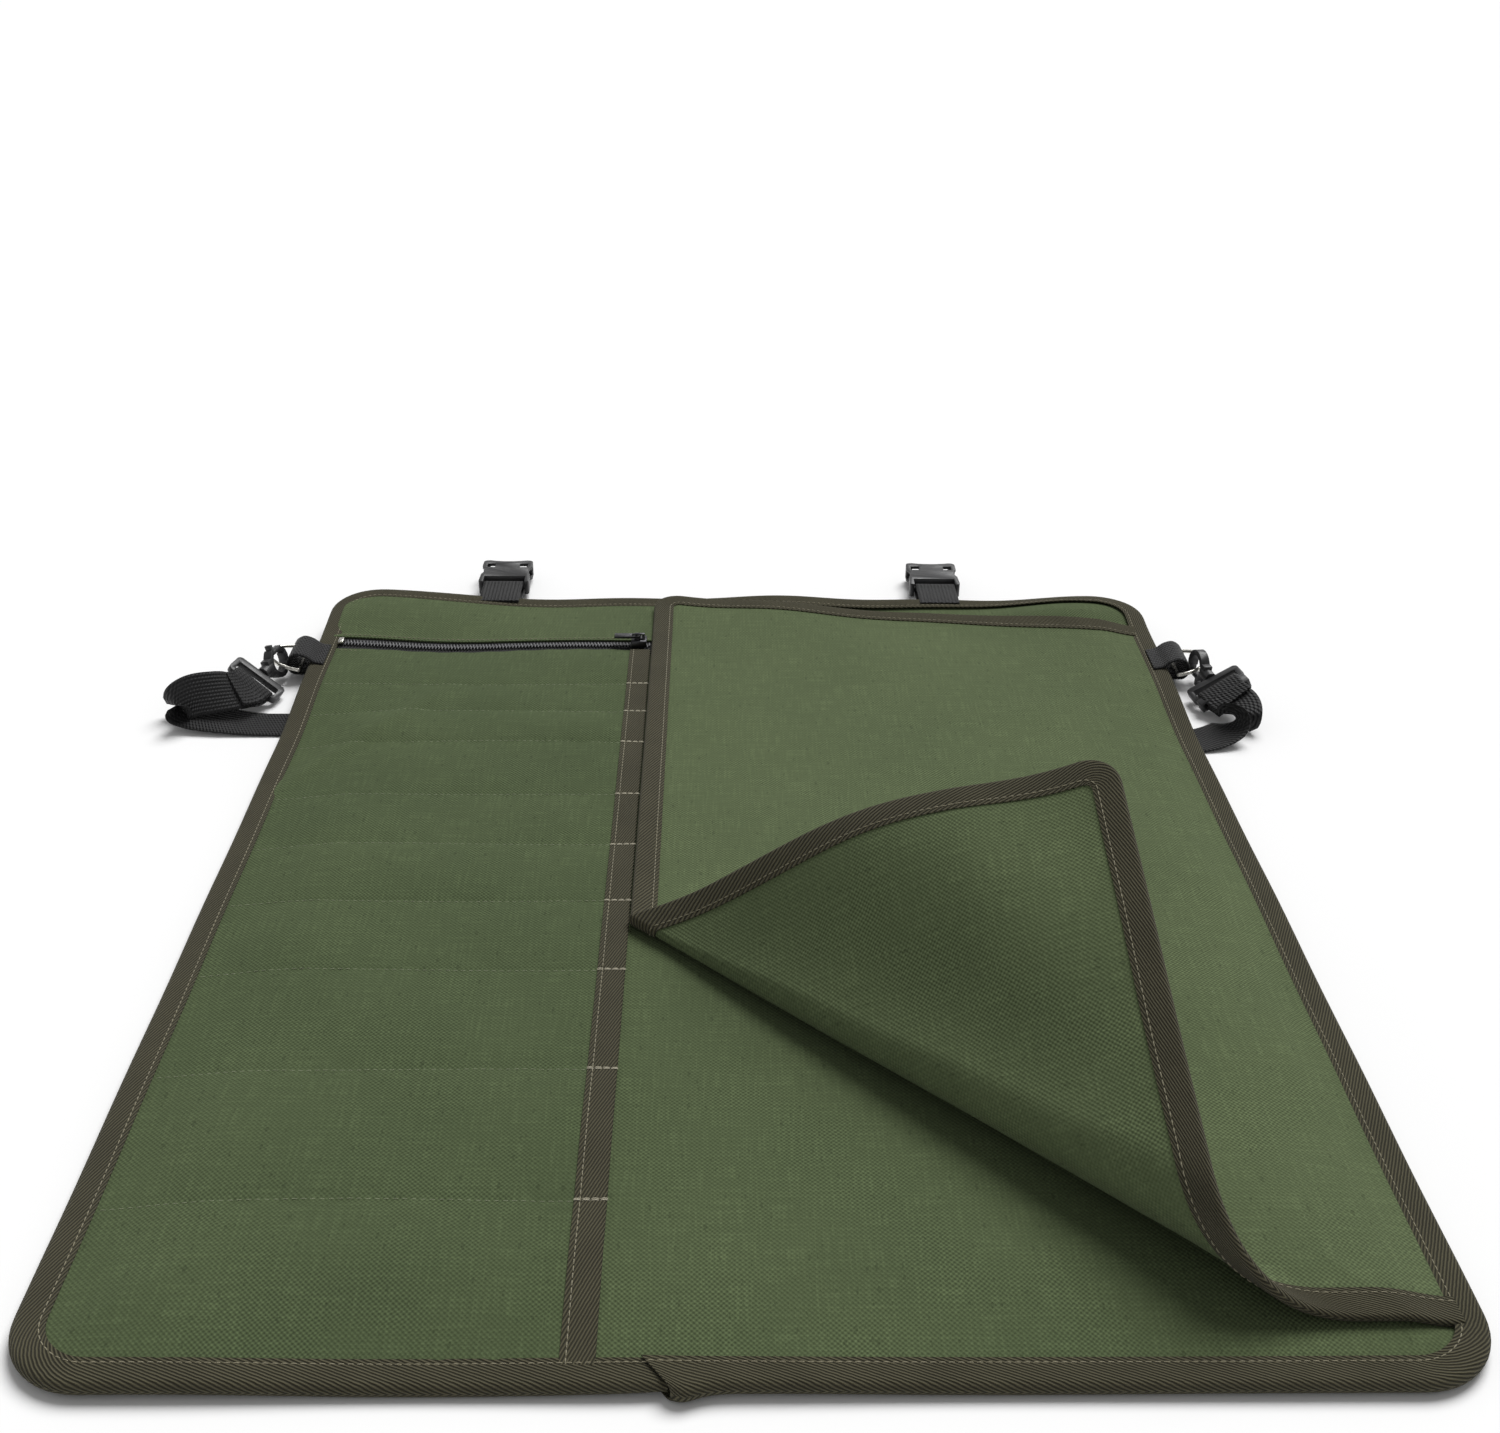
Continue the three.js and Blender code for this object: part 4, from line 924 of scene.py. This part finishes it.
def lying_grid(near_x, far_x, columns):
    """The lying part between two x, or from its own left edge where near_x is None."""
    front = FLAP_FRONT + CLOTH_INSET
    y_c = BACK_CORNER[1]
    r = FLAP_CORNER_R - CLOTH_INSET
    level = y_c + r
    if near_x is None:
        rows = np.concatenate([np.linspace(front, APEX[1] - 4, 90, endpoint=False),
                               np.linspace(APEX[1] - 4, level, 110)])
        round_off = np.sqrt(np.maximum(r * r - np.clip(rows - y_c, 0, r) ** 2, 0))
        left = np.where(rows < y_c, FLAP_LEFT + CLOTH_INSET, BACK_CORNER[0] - round_off)
        left = np.maximum(left, np.where(rows < APEX[1] - 2, ruling_x(0, rows), -1e3))
        left = np.minimum(left, far_x - 0.5)
    else:
        rows = np.linspace(front, level, 160)
        left = np.full_like(rows, near_x)
    t = np.linspace(0, 1, columns)[:, None]
    x = left[None] + t * (far_x - left)[None]
    y = np.broadcast_to(rows, x.shape)
    back = flap_back(x) - CLOTH_INSET
    y = np.where(y > 200, 200 + (y - 200) * (back - 200) / (level - 200), y)
    return x, y


def flap_lying():
    x, y = lying_grid(None, HINGE_STRIP_X, 110)
    made = flap_cloth("flap_cloth", x, y)
    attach(made, "flap")
    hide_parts("flap_panel")
    x, y = lying_grid(HINGE_STRIP_X, HALF_W - 8, 16)
    strip = flap_cloth("flap_hinge_cloth", x, y)
    hinge_blend(strip)


def hinge_blend(made):
    """Bakes the placement of a piece on the seam that the flap turns on into its mesh."""
    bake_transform(made)


def fold_blend(made):
    """Bakes the placement of a piece of the fold into its mesh."""
    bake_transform(made)


def carry_corner(made):
    """Makes a piece follow the turned corner."""
    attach(made, "flap_corner")
    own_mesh(made)


FOLD_BANDS = (0, *(12 * 26.6 ** (np.arange(33) / 32)))


def flap_bend():
    """The rolled cloth, in bands that each bend over their own radius."""
    past = np.linspace(0, FOLD_SECTOR, 30)[:, None]
    heading = FOLD_START - past
    near = (FLAP_LEFT + CLOTH_INSET - APEX[0]) / np.cos(heading)
    far = (FLAP_FRONT + CLOTH_INSET - APEX[1]) / np.sin(heading)
    middle = len(past) // 2
    edges = (np.array(FOLD_BANDS) - near[middle]) / (far[middle] - near[middle])
    edges = np.clip(edges, 0, 1)
    for k in range(len(FOLD_BANDS) - 1):
        rows = 5 + int((FOLD_BANDS[k + 1] - FOLD_BANDS[k]) / 4)
        v = np.linspace(edges[k], edges[k + 1], rows)[None]
        reach = near + v * (far - near)
        x = APEX[0] + reach * np.cos(heading)
        y = APEX[1] + reach * np.sin(heading)
        made = flap_cloth(f"flap_fold_cloth_{k + 1}", x, y)
        if k == 0:
            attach(made, "flap")
        else:
            fold_blend(made)
        if k == len(FOLD_BANDS) - 2:
            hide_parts("flap_fold")


def flap_corner():
    """The turned-over corner, past the fold's last ruling."""
    front = FLAP_FRONT + CLOTH_INSET
    start = APEX[1] - (FLAP_LEFT + CLOTH_INSET - APEX[0]) * math.tan(-FOLD_START + FOLD_SECTOR)
    rows = start + (front - start) * np.linspace(0, 1, 120)
    r = FLAP_CORNER_R - CLOTH_INSET
    round_off = np.sqrt(np.maximum(r * r - np.clip(FRONT_CORNER[1] - rows, 0, r) ** 2, 0))
    left = np.where(rows > FRONT_CORNER[1], FLAP_LEFT + CLOTH_INSET, FRONT_CORNER[0] - round_off)
    right = np.maximum(ruling_x(FOLD_SECTOR, rows), left + 0.02)
    x = left[None] + np.linspace(0, 1, 90)[:, None] * (right - left)[None]
    y = np.broadcast_to(rows, x.shape)
    made = flap_cloth("flap_corner_cloth", x, y)
    carry_corner(made)
    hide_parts("flap_corner")


def flap_bindings():
    """The flap's tape, from the seam along the back, down the left edge and along the front."""
    profile = tape_profile(HALF_FLAP + 0.05, HALF_FLAP + 0.05, 0.35, 1.6)
    back_out = unit(np.array([-SLOPE, 1]))
    slope_normal = math.degrees(math.atan2(1, -SLOPE))

    def back_edge(x):
        outer = np.array([x, flap_back(x)])
        return outer, outer - back_out * TAPE_W

    def left_edge(past):
        """The tape's two edges where it meets rulings, on the flap's left side."""
        return [joined(x, APEX[1] + (x - APEX[0]) * np.tan(FOLD_START - past))
                for x in (FLAP_LEFT, FLAP_LEFT + TAPE_W)]

    def front_edge(x_at):
        """The tape's two edges along the front, x_at giving the x to be used at each y."""
        return [joined(x_at(y), y) for y in (FLAP_FRONT, FLAP_FRONT + TAPE_W)]

    hinge = HALF_W - 9
    arc_top, arc_low = (
        [corner_arc(middle, r, start, end, 14) for r in (FLAP_CORNER_R, FLAP_CORNER_R - TAPE_W)]
        for middle, start, end in ((BACK_CORNER, slope_normal, 180), (FRONT_CORNER, 180, 270)))
    turns = np.linspace(0, FOLD_SECTOR, 22)
    fold_start = front_edge(lambda y: ruling_x(0, y))
    strip_front = front_edge(lambda y: HINGE_STRIP_X)
    stretches = {
        "flap_hinge_tape_back": [(back_edge(hinge), back_edge(HINGE_STRIP_X), 14)],
        "flap_tape": [
            (back_edge(HINGE_STRIP_X), [arc[0] for arc in arc_top], 90), arc_top,
            ([arc[-1] for arc in arc_top], left_edge(0), 120)],
        "flap_fold_tip_tape": [left_edge(turns)],
        "flap_corner_tape": [
            (left_edge(FOLD_SECTOR), [arc[0] for arc in arc_low], 90), arc_low,
            ([arc[-1] for arc in arc_low], front_edge(lambda y: ruling_x(FOLD_SECTOR, y)), 70)],
        "flap_fold_tape": [front_edge(lambda y: ruling_x(turns[::-1], y))],
        "flap_front_tape": [(fold_start, strip_front, 12)],
        "flap_hinge_tape_front": [(strip_front, front_edge(lambda y: hinge), 14)],
    }
    stands_for = {"flap_tape": "flap_edge_binding", "flap_fold_tape": "flap_fold_binding",
                  "flap_corner_tape": "flap_corner_binding", "flap_front_tape": "flap_front_binding"}
    along = 0.0
    for name, runs in stretches.items():
        outer, inner = [], []
        for run in runs:
            if len(run) == 3:
                (a_out, a_in), (b_out, b_in), count = run
                run = np.linspace(a_out, b_out, count), np.linspace(a_in, b_in, count)
            skip = 1 if outer else 0
            outer.append(run[0][skip:])
            inner.append(run[1][skip:])
        outer, inner = np.concatenate(outer), np.concatenate(inner)
        made = tape(name, outer, inner, flap_point, BINDING, profile, along)
        along += lengths((outer + inner) / 2)[-1]
        threads = Rods()
        line = resampled(outer + STITCH_IN * (inner - outer), max(20, len(outer)))
        normal = flap_normal(line[:, 0], line[:, 1])
        for sign in (1, -1):
            lift = sign * (HALF_FLAP + TAPE_T + 0.12)
            threads.stitches(flap_point(line[:, 0], line[:, 1], lift), normal * sign)
        sewn = threads.make(name.replace("tape", "stitches"), KHAKI_THREAD) if threads.count else None
        for o in filter(None, (made, sewn)):
            carry_flap_piece(o, name)
        if name in stands_for:
            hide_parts(stands_for[name])


def carry_flap_piece(o, name):
    """Makes a piece of the flap's edge follow the right body; on the seam and the fold, its placement
    is baked into its mesh.
    """
    if "hinge" in name:
        hinge_blend(o)
    elif name == "flap_fold_tape":
        fold_blend(o)
    elif name == "flap_corner_tape":
        carry_corner(o)
    else:
        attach(o, "flap")


# ---- Hardware --------------------------------------------------------------------------------


def refined(node, body, look, bevel, cutters=()):
    """A finer copy of a CAD node: its flat faces joined and its edges rounded."""
    source = frame["nodes"][node]
    mesh = source.data.copy()
    mesh.name = f"{node}_finish"
    work = bmesh.new()
    work.from_mesh(mesh)
    bmesh.ops.remove_doubles(work, verts=work.verts, dist=2e-6)
    bmesh.ops.dissolve_limit(work, angle_limit=math.radians(1), verts=work.verts, edges=work.edges)
    work.to_mesh(mesh)
    work.free()
    mesh.materials.clear()
    mesh.materials.append(look)
    made = bpy.data.objects.new(mesh.name, mesh)
    bpy.context.scene.collection.objects.link(made)
    for cutter in cutters:
        hole = made.modifiers.new("hole", "BOOLEAN")
        hole.operation = "DIFFERENCE"
        hole.object = cutter
        hole.solver = "EXACT"
    soften = made.modifiers.new("soften", "BEVEL")
    soften.width = bevel * MM
    soften.segments = 3
    soften.limit_method = "ANGLE"
    soften.angle_limit = math.radians(38)
    soften.use_clamp_overlap = True
    soften.harden_normals = True
    apply_modifiers(made)
    for cutter in cutters:
        bpy.data.objects.remove(cutter)
    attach(made, body)
    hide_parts(node)


def apply_modifiers(made):
    graph = bpy.context.evaluated_depsgraph_get()
    mesh = bpy.data.meshes.new_from_object(made.evaluated_get(graph))
    made.modifiers.clear()
    made.data = mesh
    mesh.polygons.foreach_set("use_smooth", np.ones(len(mesh.polygons), bool))
    mesh.update()


def block(low, high):
    """A box for cutting with, from its corners in millimetres."""
    low, high = np.array(low, float), np.array(high, float)
    signs = np.array([(i, j, k) for i in (0, 1) for j in (0, 1) for k in (0, 1)])
    points = low + signs * (high - low)
    faces = [(0, 1, 3, 2), (4, 6, 7, 5), (0, 4, 5, 1), (2, 3, 7, 6), (0, 2, 6, 4), (1, 5, 7, 3)]
    return piece("cutter", points, faces, PLASTIC)


WINDOW_AT = 10.5                # the socket's two windows, from its middle line
WINDOW_HALF = 2.6
WINDOW_NEAR, WINDOW_FAR = 11, 5.5   # and from its far end


def buckles():
    for side in ("left", "right"):
        low, high = cad_box(f"buckle_socket_{side}")
        x = (low[0] + high[0]) / 2
        far = high[1]
        holes = [block((window - WINDOW_HALF, far - WINDOW_NEAR, low[2] - 1),
                       (window + WINDOW_HALF, far - WINDOW_FAR, high[2] + 1))
                 for window in (x - WINDOW_AT, x + WINDOW_AT)]
        refined(f"buckle_socket_{side}", f"buckle_socket_{side}", PLASTIC, 0.5, cutters=holes)
        _, bar_y, bar_z = joint_place(f"buckle_swing_{side}")
        lie = float(settle(x, HALF_D))
        knots = [(HALF_D - 14, SHEET_MID - 2.2 + lie), (HALF_D - 1, SHEET_MID - 2.9 + lie * 0.8),
                 (bar_y - 8, bar_z - 3.1), (bar_y, bar_z - 2.75), (bar_y + 2.7, bar_z),
                 (bar_y, bar_z + 2.75), (bar_y - 8, bar_z + 3.1),
                 (HALF_D - 1, SHEET_MID + 3.6 + lie * 0.8), (HALF_D - 8, SHEET_MID + 3.4 + lie)]
        made = web_loop(f"buckle_web_{side}", knots, x * RIGHT, BACK, RIGHT)
        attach(made, "sheet")
        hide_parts(f"buckle_tab_{side}")


RING_REACH = 19                 # how far the ring's bow stands out from its bar
RING_HALF = 14.6                # half of its width, along the bar
RING_WIRE_R = 1.148
RING_LIFT = math.radians(12)    # how far the ring is tilted up


def d_rings():
    for side, sign in (("left", -1), ("right", 1)):
        bar = joint_place(f"d_ring_swing_{side}")
        turn = np.linspace(0, 2 * np.pi, 120, endpoint=False)
        bow = np.where(np.cos(turn) > 0, RING_REACH * np.abs(np.cos(turn)) ** 0.8, 0)
        flat = joined(bow, RING_HALF * np.sin(turn))
        for _ in range(3):
            flat = (np.roll(flat, 1, 0) + 2 * flat + np.roll(flat, -1, 0)) / 4
        out = sign * math.cos(RING_LIFT) * RIGHT + math.sin(RING_LIFT) * UP
        along = sign * BACK
        centre = bar + flat[:, :1] * out + flat[:, 1:] * along
        tangent = unit(np.roll(centre, -1, 0) - np.roll(centre, 1, 0))
        normal = np.cross(out, along)
        side_way = np.cross(tangent, normal)
        a = (np.arange(14) * 2 * np.pi / 14)[:, None]
        rings = centre[:, None] + RING_WIRE_R * (np.cos(a) * side_way[:, None] + np.sin(a) * normal)
        made = tube(f"d_ring_wire_{side}", rings, STEEL, loop=True)
        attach(made, f"d_ring_{side}")
        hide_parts(f"d_ring_{side}")
        lie = float(settle(sign * HALF_W, bar[1]))
        knots = [(HALF_W - 14, SHEET_MID - 2.2 + lie), (HALF_W - 1, SHEET_MID - 2.7 + lie),
                 (HALF_W + 4, bar[2] - 3.6), (HALF_W + 9, bar[2] - 3), (HALF_W + 11.6, bar[2] + 0.8),
                 (HALF_W + 10.4, bar[2] + 5.8), (HALF_W + 6, bar[2] + 8.6), (HALF_W + 1, bar[2] + 7.2),
                 (HALF_W - 3.5, SHEET_MID + 4.6 + lie), (HALF_W - 9, SHEET_MID + 3.5 + lie)]
        made = web_loop(f"ring_web_{side}", knots, bar[1] * BACK, sign * RIGHT, BACK)
        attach(made, "sheet")
        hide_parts(f"ring_tab_{side}")


def hooks_and_trim():
    for side in ("left", "right"):
        refined(f"snap_hook_{side}", f"snap_hook_{side}", PLASTIC, 0.6)
        refined(f"snap_gate_{side}", f"snap_gate_{side}", PLASTIC, 0.3)
        refined(f"swivel_eye_{side}", "sheet", PLASTIC, 0.6)
        refined(f"plug_frame_{side}", "sheet", PLASTIC, 0.6)
        for end in ("a", "b"):
            refined(f"plug_prong_{side}_{end}", f"plug_prong_{side}_{end}", PLASTIC, 0.4)
    refined("strap_adjuster", "sheet", PLASTIC, 0.6)
    refined("zip_slider", "zip_slider", ENAMEL, 0.3)
    refined("zip_pull", "zip_pull", ENAMEL, 0.25)
    refined("zip_end_stop", "sheet", STEEL, 0.3)


# ---- Straps ----------------------------------------------------------------------------------

STRAP_Z = WEB_T / 2
STRAP_ROUTE = (
    ((-276.3, 177.3, 12), (-0.79, 0.2, 0.57)),
    ((-277.6, 172.2, 12.8), (-0.78, 0.26, 0.58)),
    ((-282.6, 166.2, 15.2), (-0.75, 0.36, 0.6)),
    ((-292, 161.5, 16.4), (-0.66, 0.44, 0.6)),
    ((-304, 158.5, 15.2), (-0.52, 0.58, 0.6)),
    ((-311, 156.6, 11), (-0.42, 0.7, 0.5)),
    ((-304, 155.2, 7.4), (-0.26, 0.85, 0.36)),
    ((-287, 153.5, 3.6), (-0.1, 0.95, 0.12)),
    ((-268, 153, 1.1), (0, 1, 0)),
    ((-245, 153, STRAP_Z), (0, 1, 0)),
    ((-150, 150, STRAP_Z), (0, 1, 0)),
    ((0, 146, STRAP_Z), (0, 1, 0)),
    ((150, 142, STRAP_Z), (0, 1, 0)),
    ((238, 139, STRAP_Z), (0, 1, 0)),
    ((256, 140.4, 1.4), (0.05, 0.99, 0.02)),
    ((270, 146, 5), (0.3, 0.93, 0.15)),
    ((277.2, 154.6, 9.8), (0.64, 0.7, 0.35)),
    ((277.8, 163.4, 11.8), (0.8, 0.45, 0.4)),
    ((274.2, 172, 12.2), (0.87, 0.2, 0.46)),
    ((273, 177.2, 12.3), (0.87, 0.14, 0.47)),
)


def shoulder_strap():
    route = spline([(*at, *across) for at, across in STRAP_ROUTE], 16)
    made = webbing("shoulder_web", route[:, :3], route[:, 3:], WEBBING, ground=0.0)
    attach(made, "sheet")
    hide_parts("shoulder_strap")
    strap_turnback("left", route)
    strap_turnback("right", route[::-1])


def strap_turnback(side, route):
    """The strap's end, turned back round the outer bar of the hook's eye and sewn to itself."""
    at = lengths(route[:, :3])
    along = unit(np.gradient(route[:, :3], axis=0))
    across = unit(route[:, 3:] - (route[:, 3:] * along).sum(-1, keepdims=True) * along)
    up = np.cross(along, across)

    def layer(sign):
        """Points on one side of the strap, from its sewn end to the eye."""
        points = []
        for away, rise in ((13, 1.6), (9, 1.65), (5, 2.2), (1.5, 2.8)):
            here, normal = (sampled(line, at, away) for line in (route[:, :3], up))
            points.append(here + sign * rise * normal)
        return points

    round_bar = [route[0, :3] - along[0] * reach + up[0] * rise
                 for reach, rise in ((2.6, 2.95), (5.2, 2.1), (6.1, 0), (5.2, -2.1), (2.6, -2.95))]
    centre = spline(layer(1) + round_bar + layer(-1)[::-1], 8)
    made = webbing(f"strap_turnback_{side}", centre, across[0], WEBBING, WEB_W - 0.6, 1.4)
    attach(made, "sheet")


def closure_straps():
    for side in ("left", "right"):
        low, high = cad_box(f"closure_strap_{side}")
        x = (low[0] + high[0]) / 2
        y = np.linspace(low[1], high[1], 90)
        lift = WEB_T / 2 + 0.8 * smooth(high[1] - 60, high[1], y)
        made = webbing(f"closure_web_{side}", joined(x, y, lift), RIGHT, WEBBING)
        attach(made, "sheet")
        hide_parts(f"closure_strap_{side}")


# ---- Making it all ---------------------------------------------------------------------------

edge_threads = Rods()
pocket_threads = Rods()
zip_threads = Rods()
seam_tacks = Rods()

base_panel()
edge_binding(edge_threads)
pocket_panel(pocket_threads)
pocket_mouth(edge_threads, seam_tacks)
zip_panel(zip_threads)
zip_tapes()
zip_coil("front", -1)
zip_coil("back", 1)
flap_lying()
flap_bend()
flap_corner()
flap_bindings()
buckles()
d_rings()
hooks_and_trim()
shoulder_strap()
closure_straps()

for threads, name, look in (
        (edge_threads, "binding_stitches", KHAKI_THREAD),
        (pocket_threads, "pocket_seam_stitches", GREEN_THREAD),
        (zip_threads, "zip_stitches", KHAKI_THREAD),
        (seam_tacks, "pocket_mouth_tacks", PALE_THREAD)):
    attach(threads.make(name, look), "sheet")

# ---- Floor, light and camera -----------------------------------------------------------------


FLOOR_TONE = 0.93


def floor():
    g = Graph("studio_floor", 0.9, Specular_IOR_Level=0.0)
    g.colour(shade(WHITE, FLOOR_TONE))
    bpy.ops.mesh.primitive_plane_add(size=80, location=(0, 0, -0.0002))
    made = bpy.context.object
    made.name = "floor"
    made.data.materials.append(g.material)


SUN_FROM = (0.3, 0.54, 0.9)     # the main softbox's direction, behind and to the right
SUN_POWER = 2.95
SUN_SPREAD = math.radians(38)
DOME = ((0.1, 1.0), (0.3, 0.29))        # heights on the dome, with its brightness at each


def studio():
    """A broad soft light from above and behind, and a dome that is pale at the horizon."""
    world = bpy.data.worlds.new("studio")
    world.use_nodes = True
    tree = world.node_tree
    height = tree.nodes.new("ShaderNodeSeparateXYZ")
    tree.links.new(tree.nodes.new("ShaderNodeTexCoord").outputs["Generated"], height.inputs[0])
    dome = tree.nodes.new("ShaderNodeValToRGB")
    for stop, (at, level) in zip(dome.color_ramp.elements, DOME):
        stop.position = at
        stop.color = shade(WHITE, level)
    tree.links.new(height.outputs[2], dome.inputs[0])
    tree.links.new(dome.outputs[0], tree.nodes["Background"].inputs[0])
    bpy.context.scene.world = world
    bpy.context.scene.view_settings.view_transform = "Standard"
    data = bpy.data.lights.new("softbox", "SUN")
    data.energy = SUN_POWER
    data.angle = SUN_SPREAD
    lamp = bpy.data.objects.new("softbox", data)
    lamp.rotation_euler = Vector(SUN_FROM).to_track_quat("Z", "Y").to_euler()
    bpy.context.scene.collection.objects.link(lamp)


CAMERA_AT = (-14.9, -710.7, 466.9)
CAMERA_DOWN = math.radians(28)
CAMERA_YAW = math.radians(1.2988)
CAMERA_ROLL = math.radians(-0.9054)
LENS = 42.41
SENSOR_W = 36


def camera():
    data = bpy.data.cameras.new("camera")
    data.lens = LENS
    data.sensor_width = SENSOR_W
    data.clip_end = 50
    made = bpy.data.objects.new("camera", data)
    forward = np.array([math.sin(CAMERA_YAW) * math.cos(CAMERA_DOWN),
                        math.cos(CAMERA_YAW) * math.cos(CAMERA_DOWN), -math.sin(CAMERA_DOWN)])
    right = unit(np.cross(forward, UP))
    down = np.cross(forward, right)
    c, s = math.cos(CAMERA_ROLL), math.sin(CAMERA_ROLL)
    right, down = c * right + s * down, c * down - s * right
    made.matrix_world = Matrix.Translation(to_frame(CAMERA_AT)) @ Matrix(
        joined(right, -down, -forward).tolist()).to_4x4()
    bpy.context.scene.collection.objects.link(made)
    bpy.context.scene.camera = made


floor()
studio()
camera()
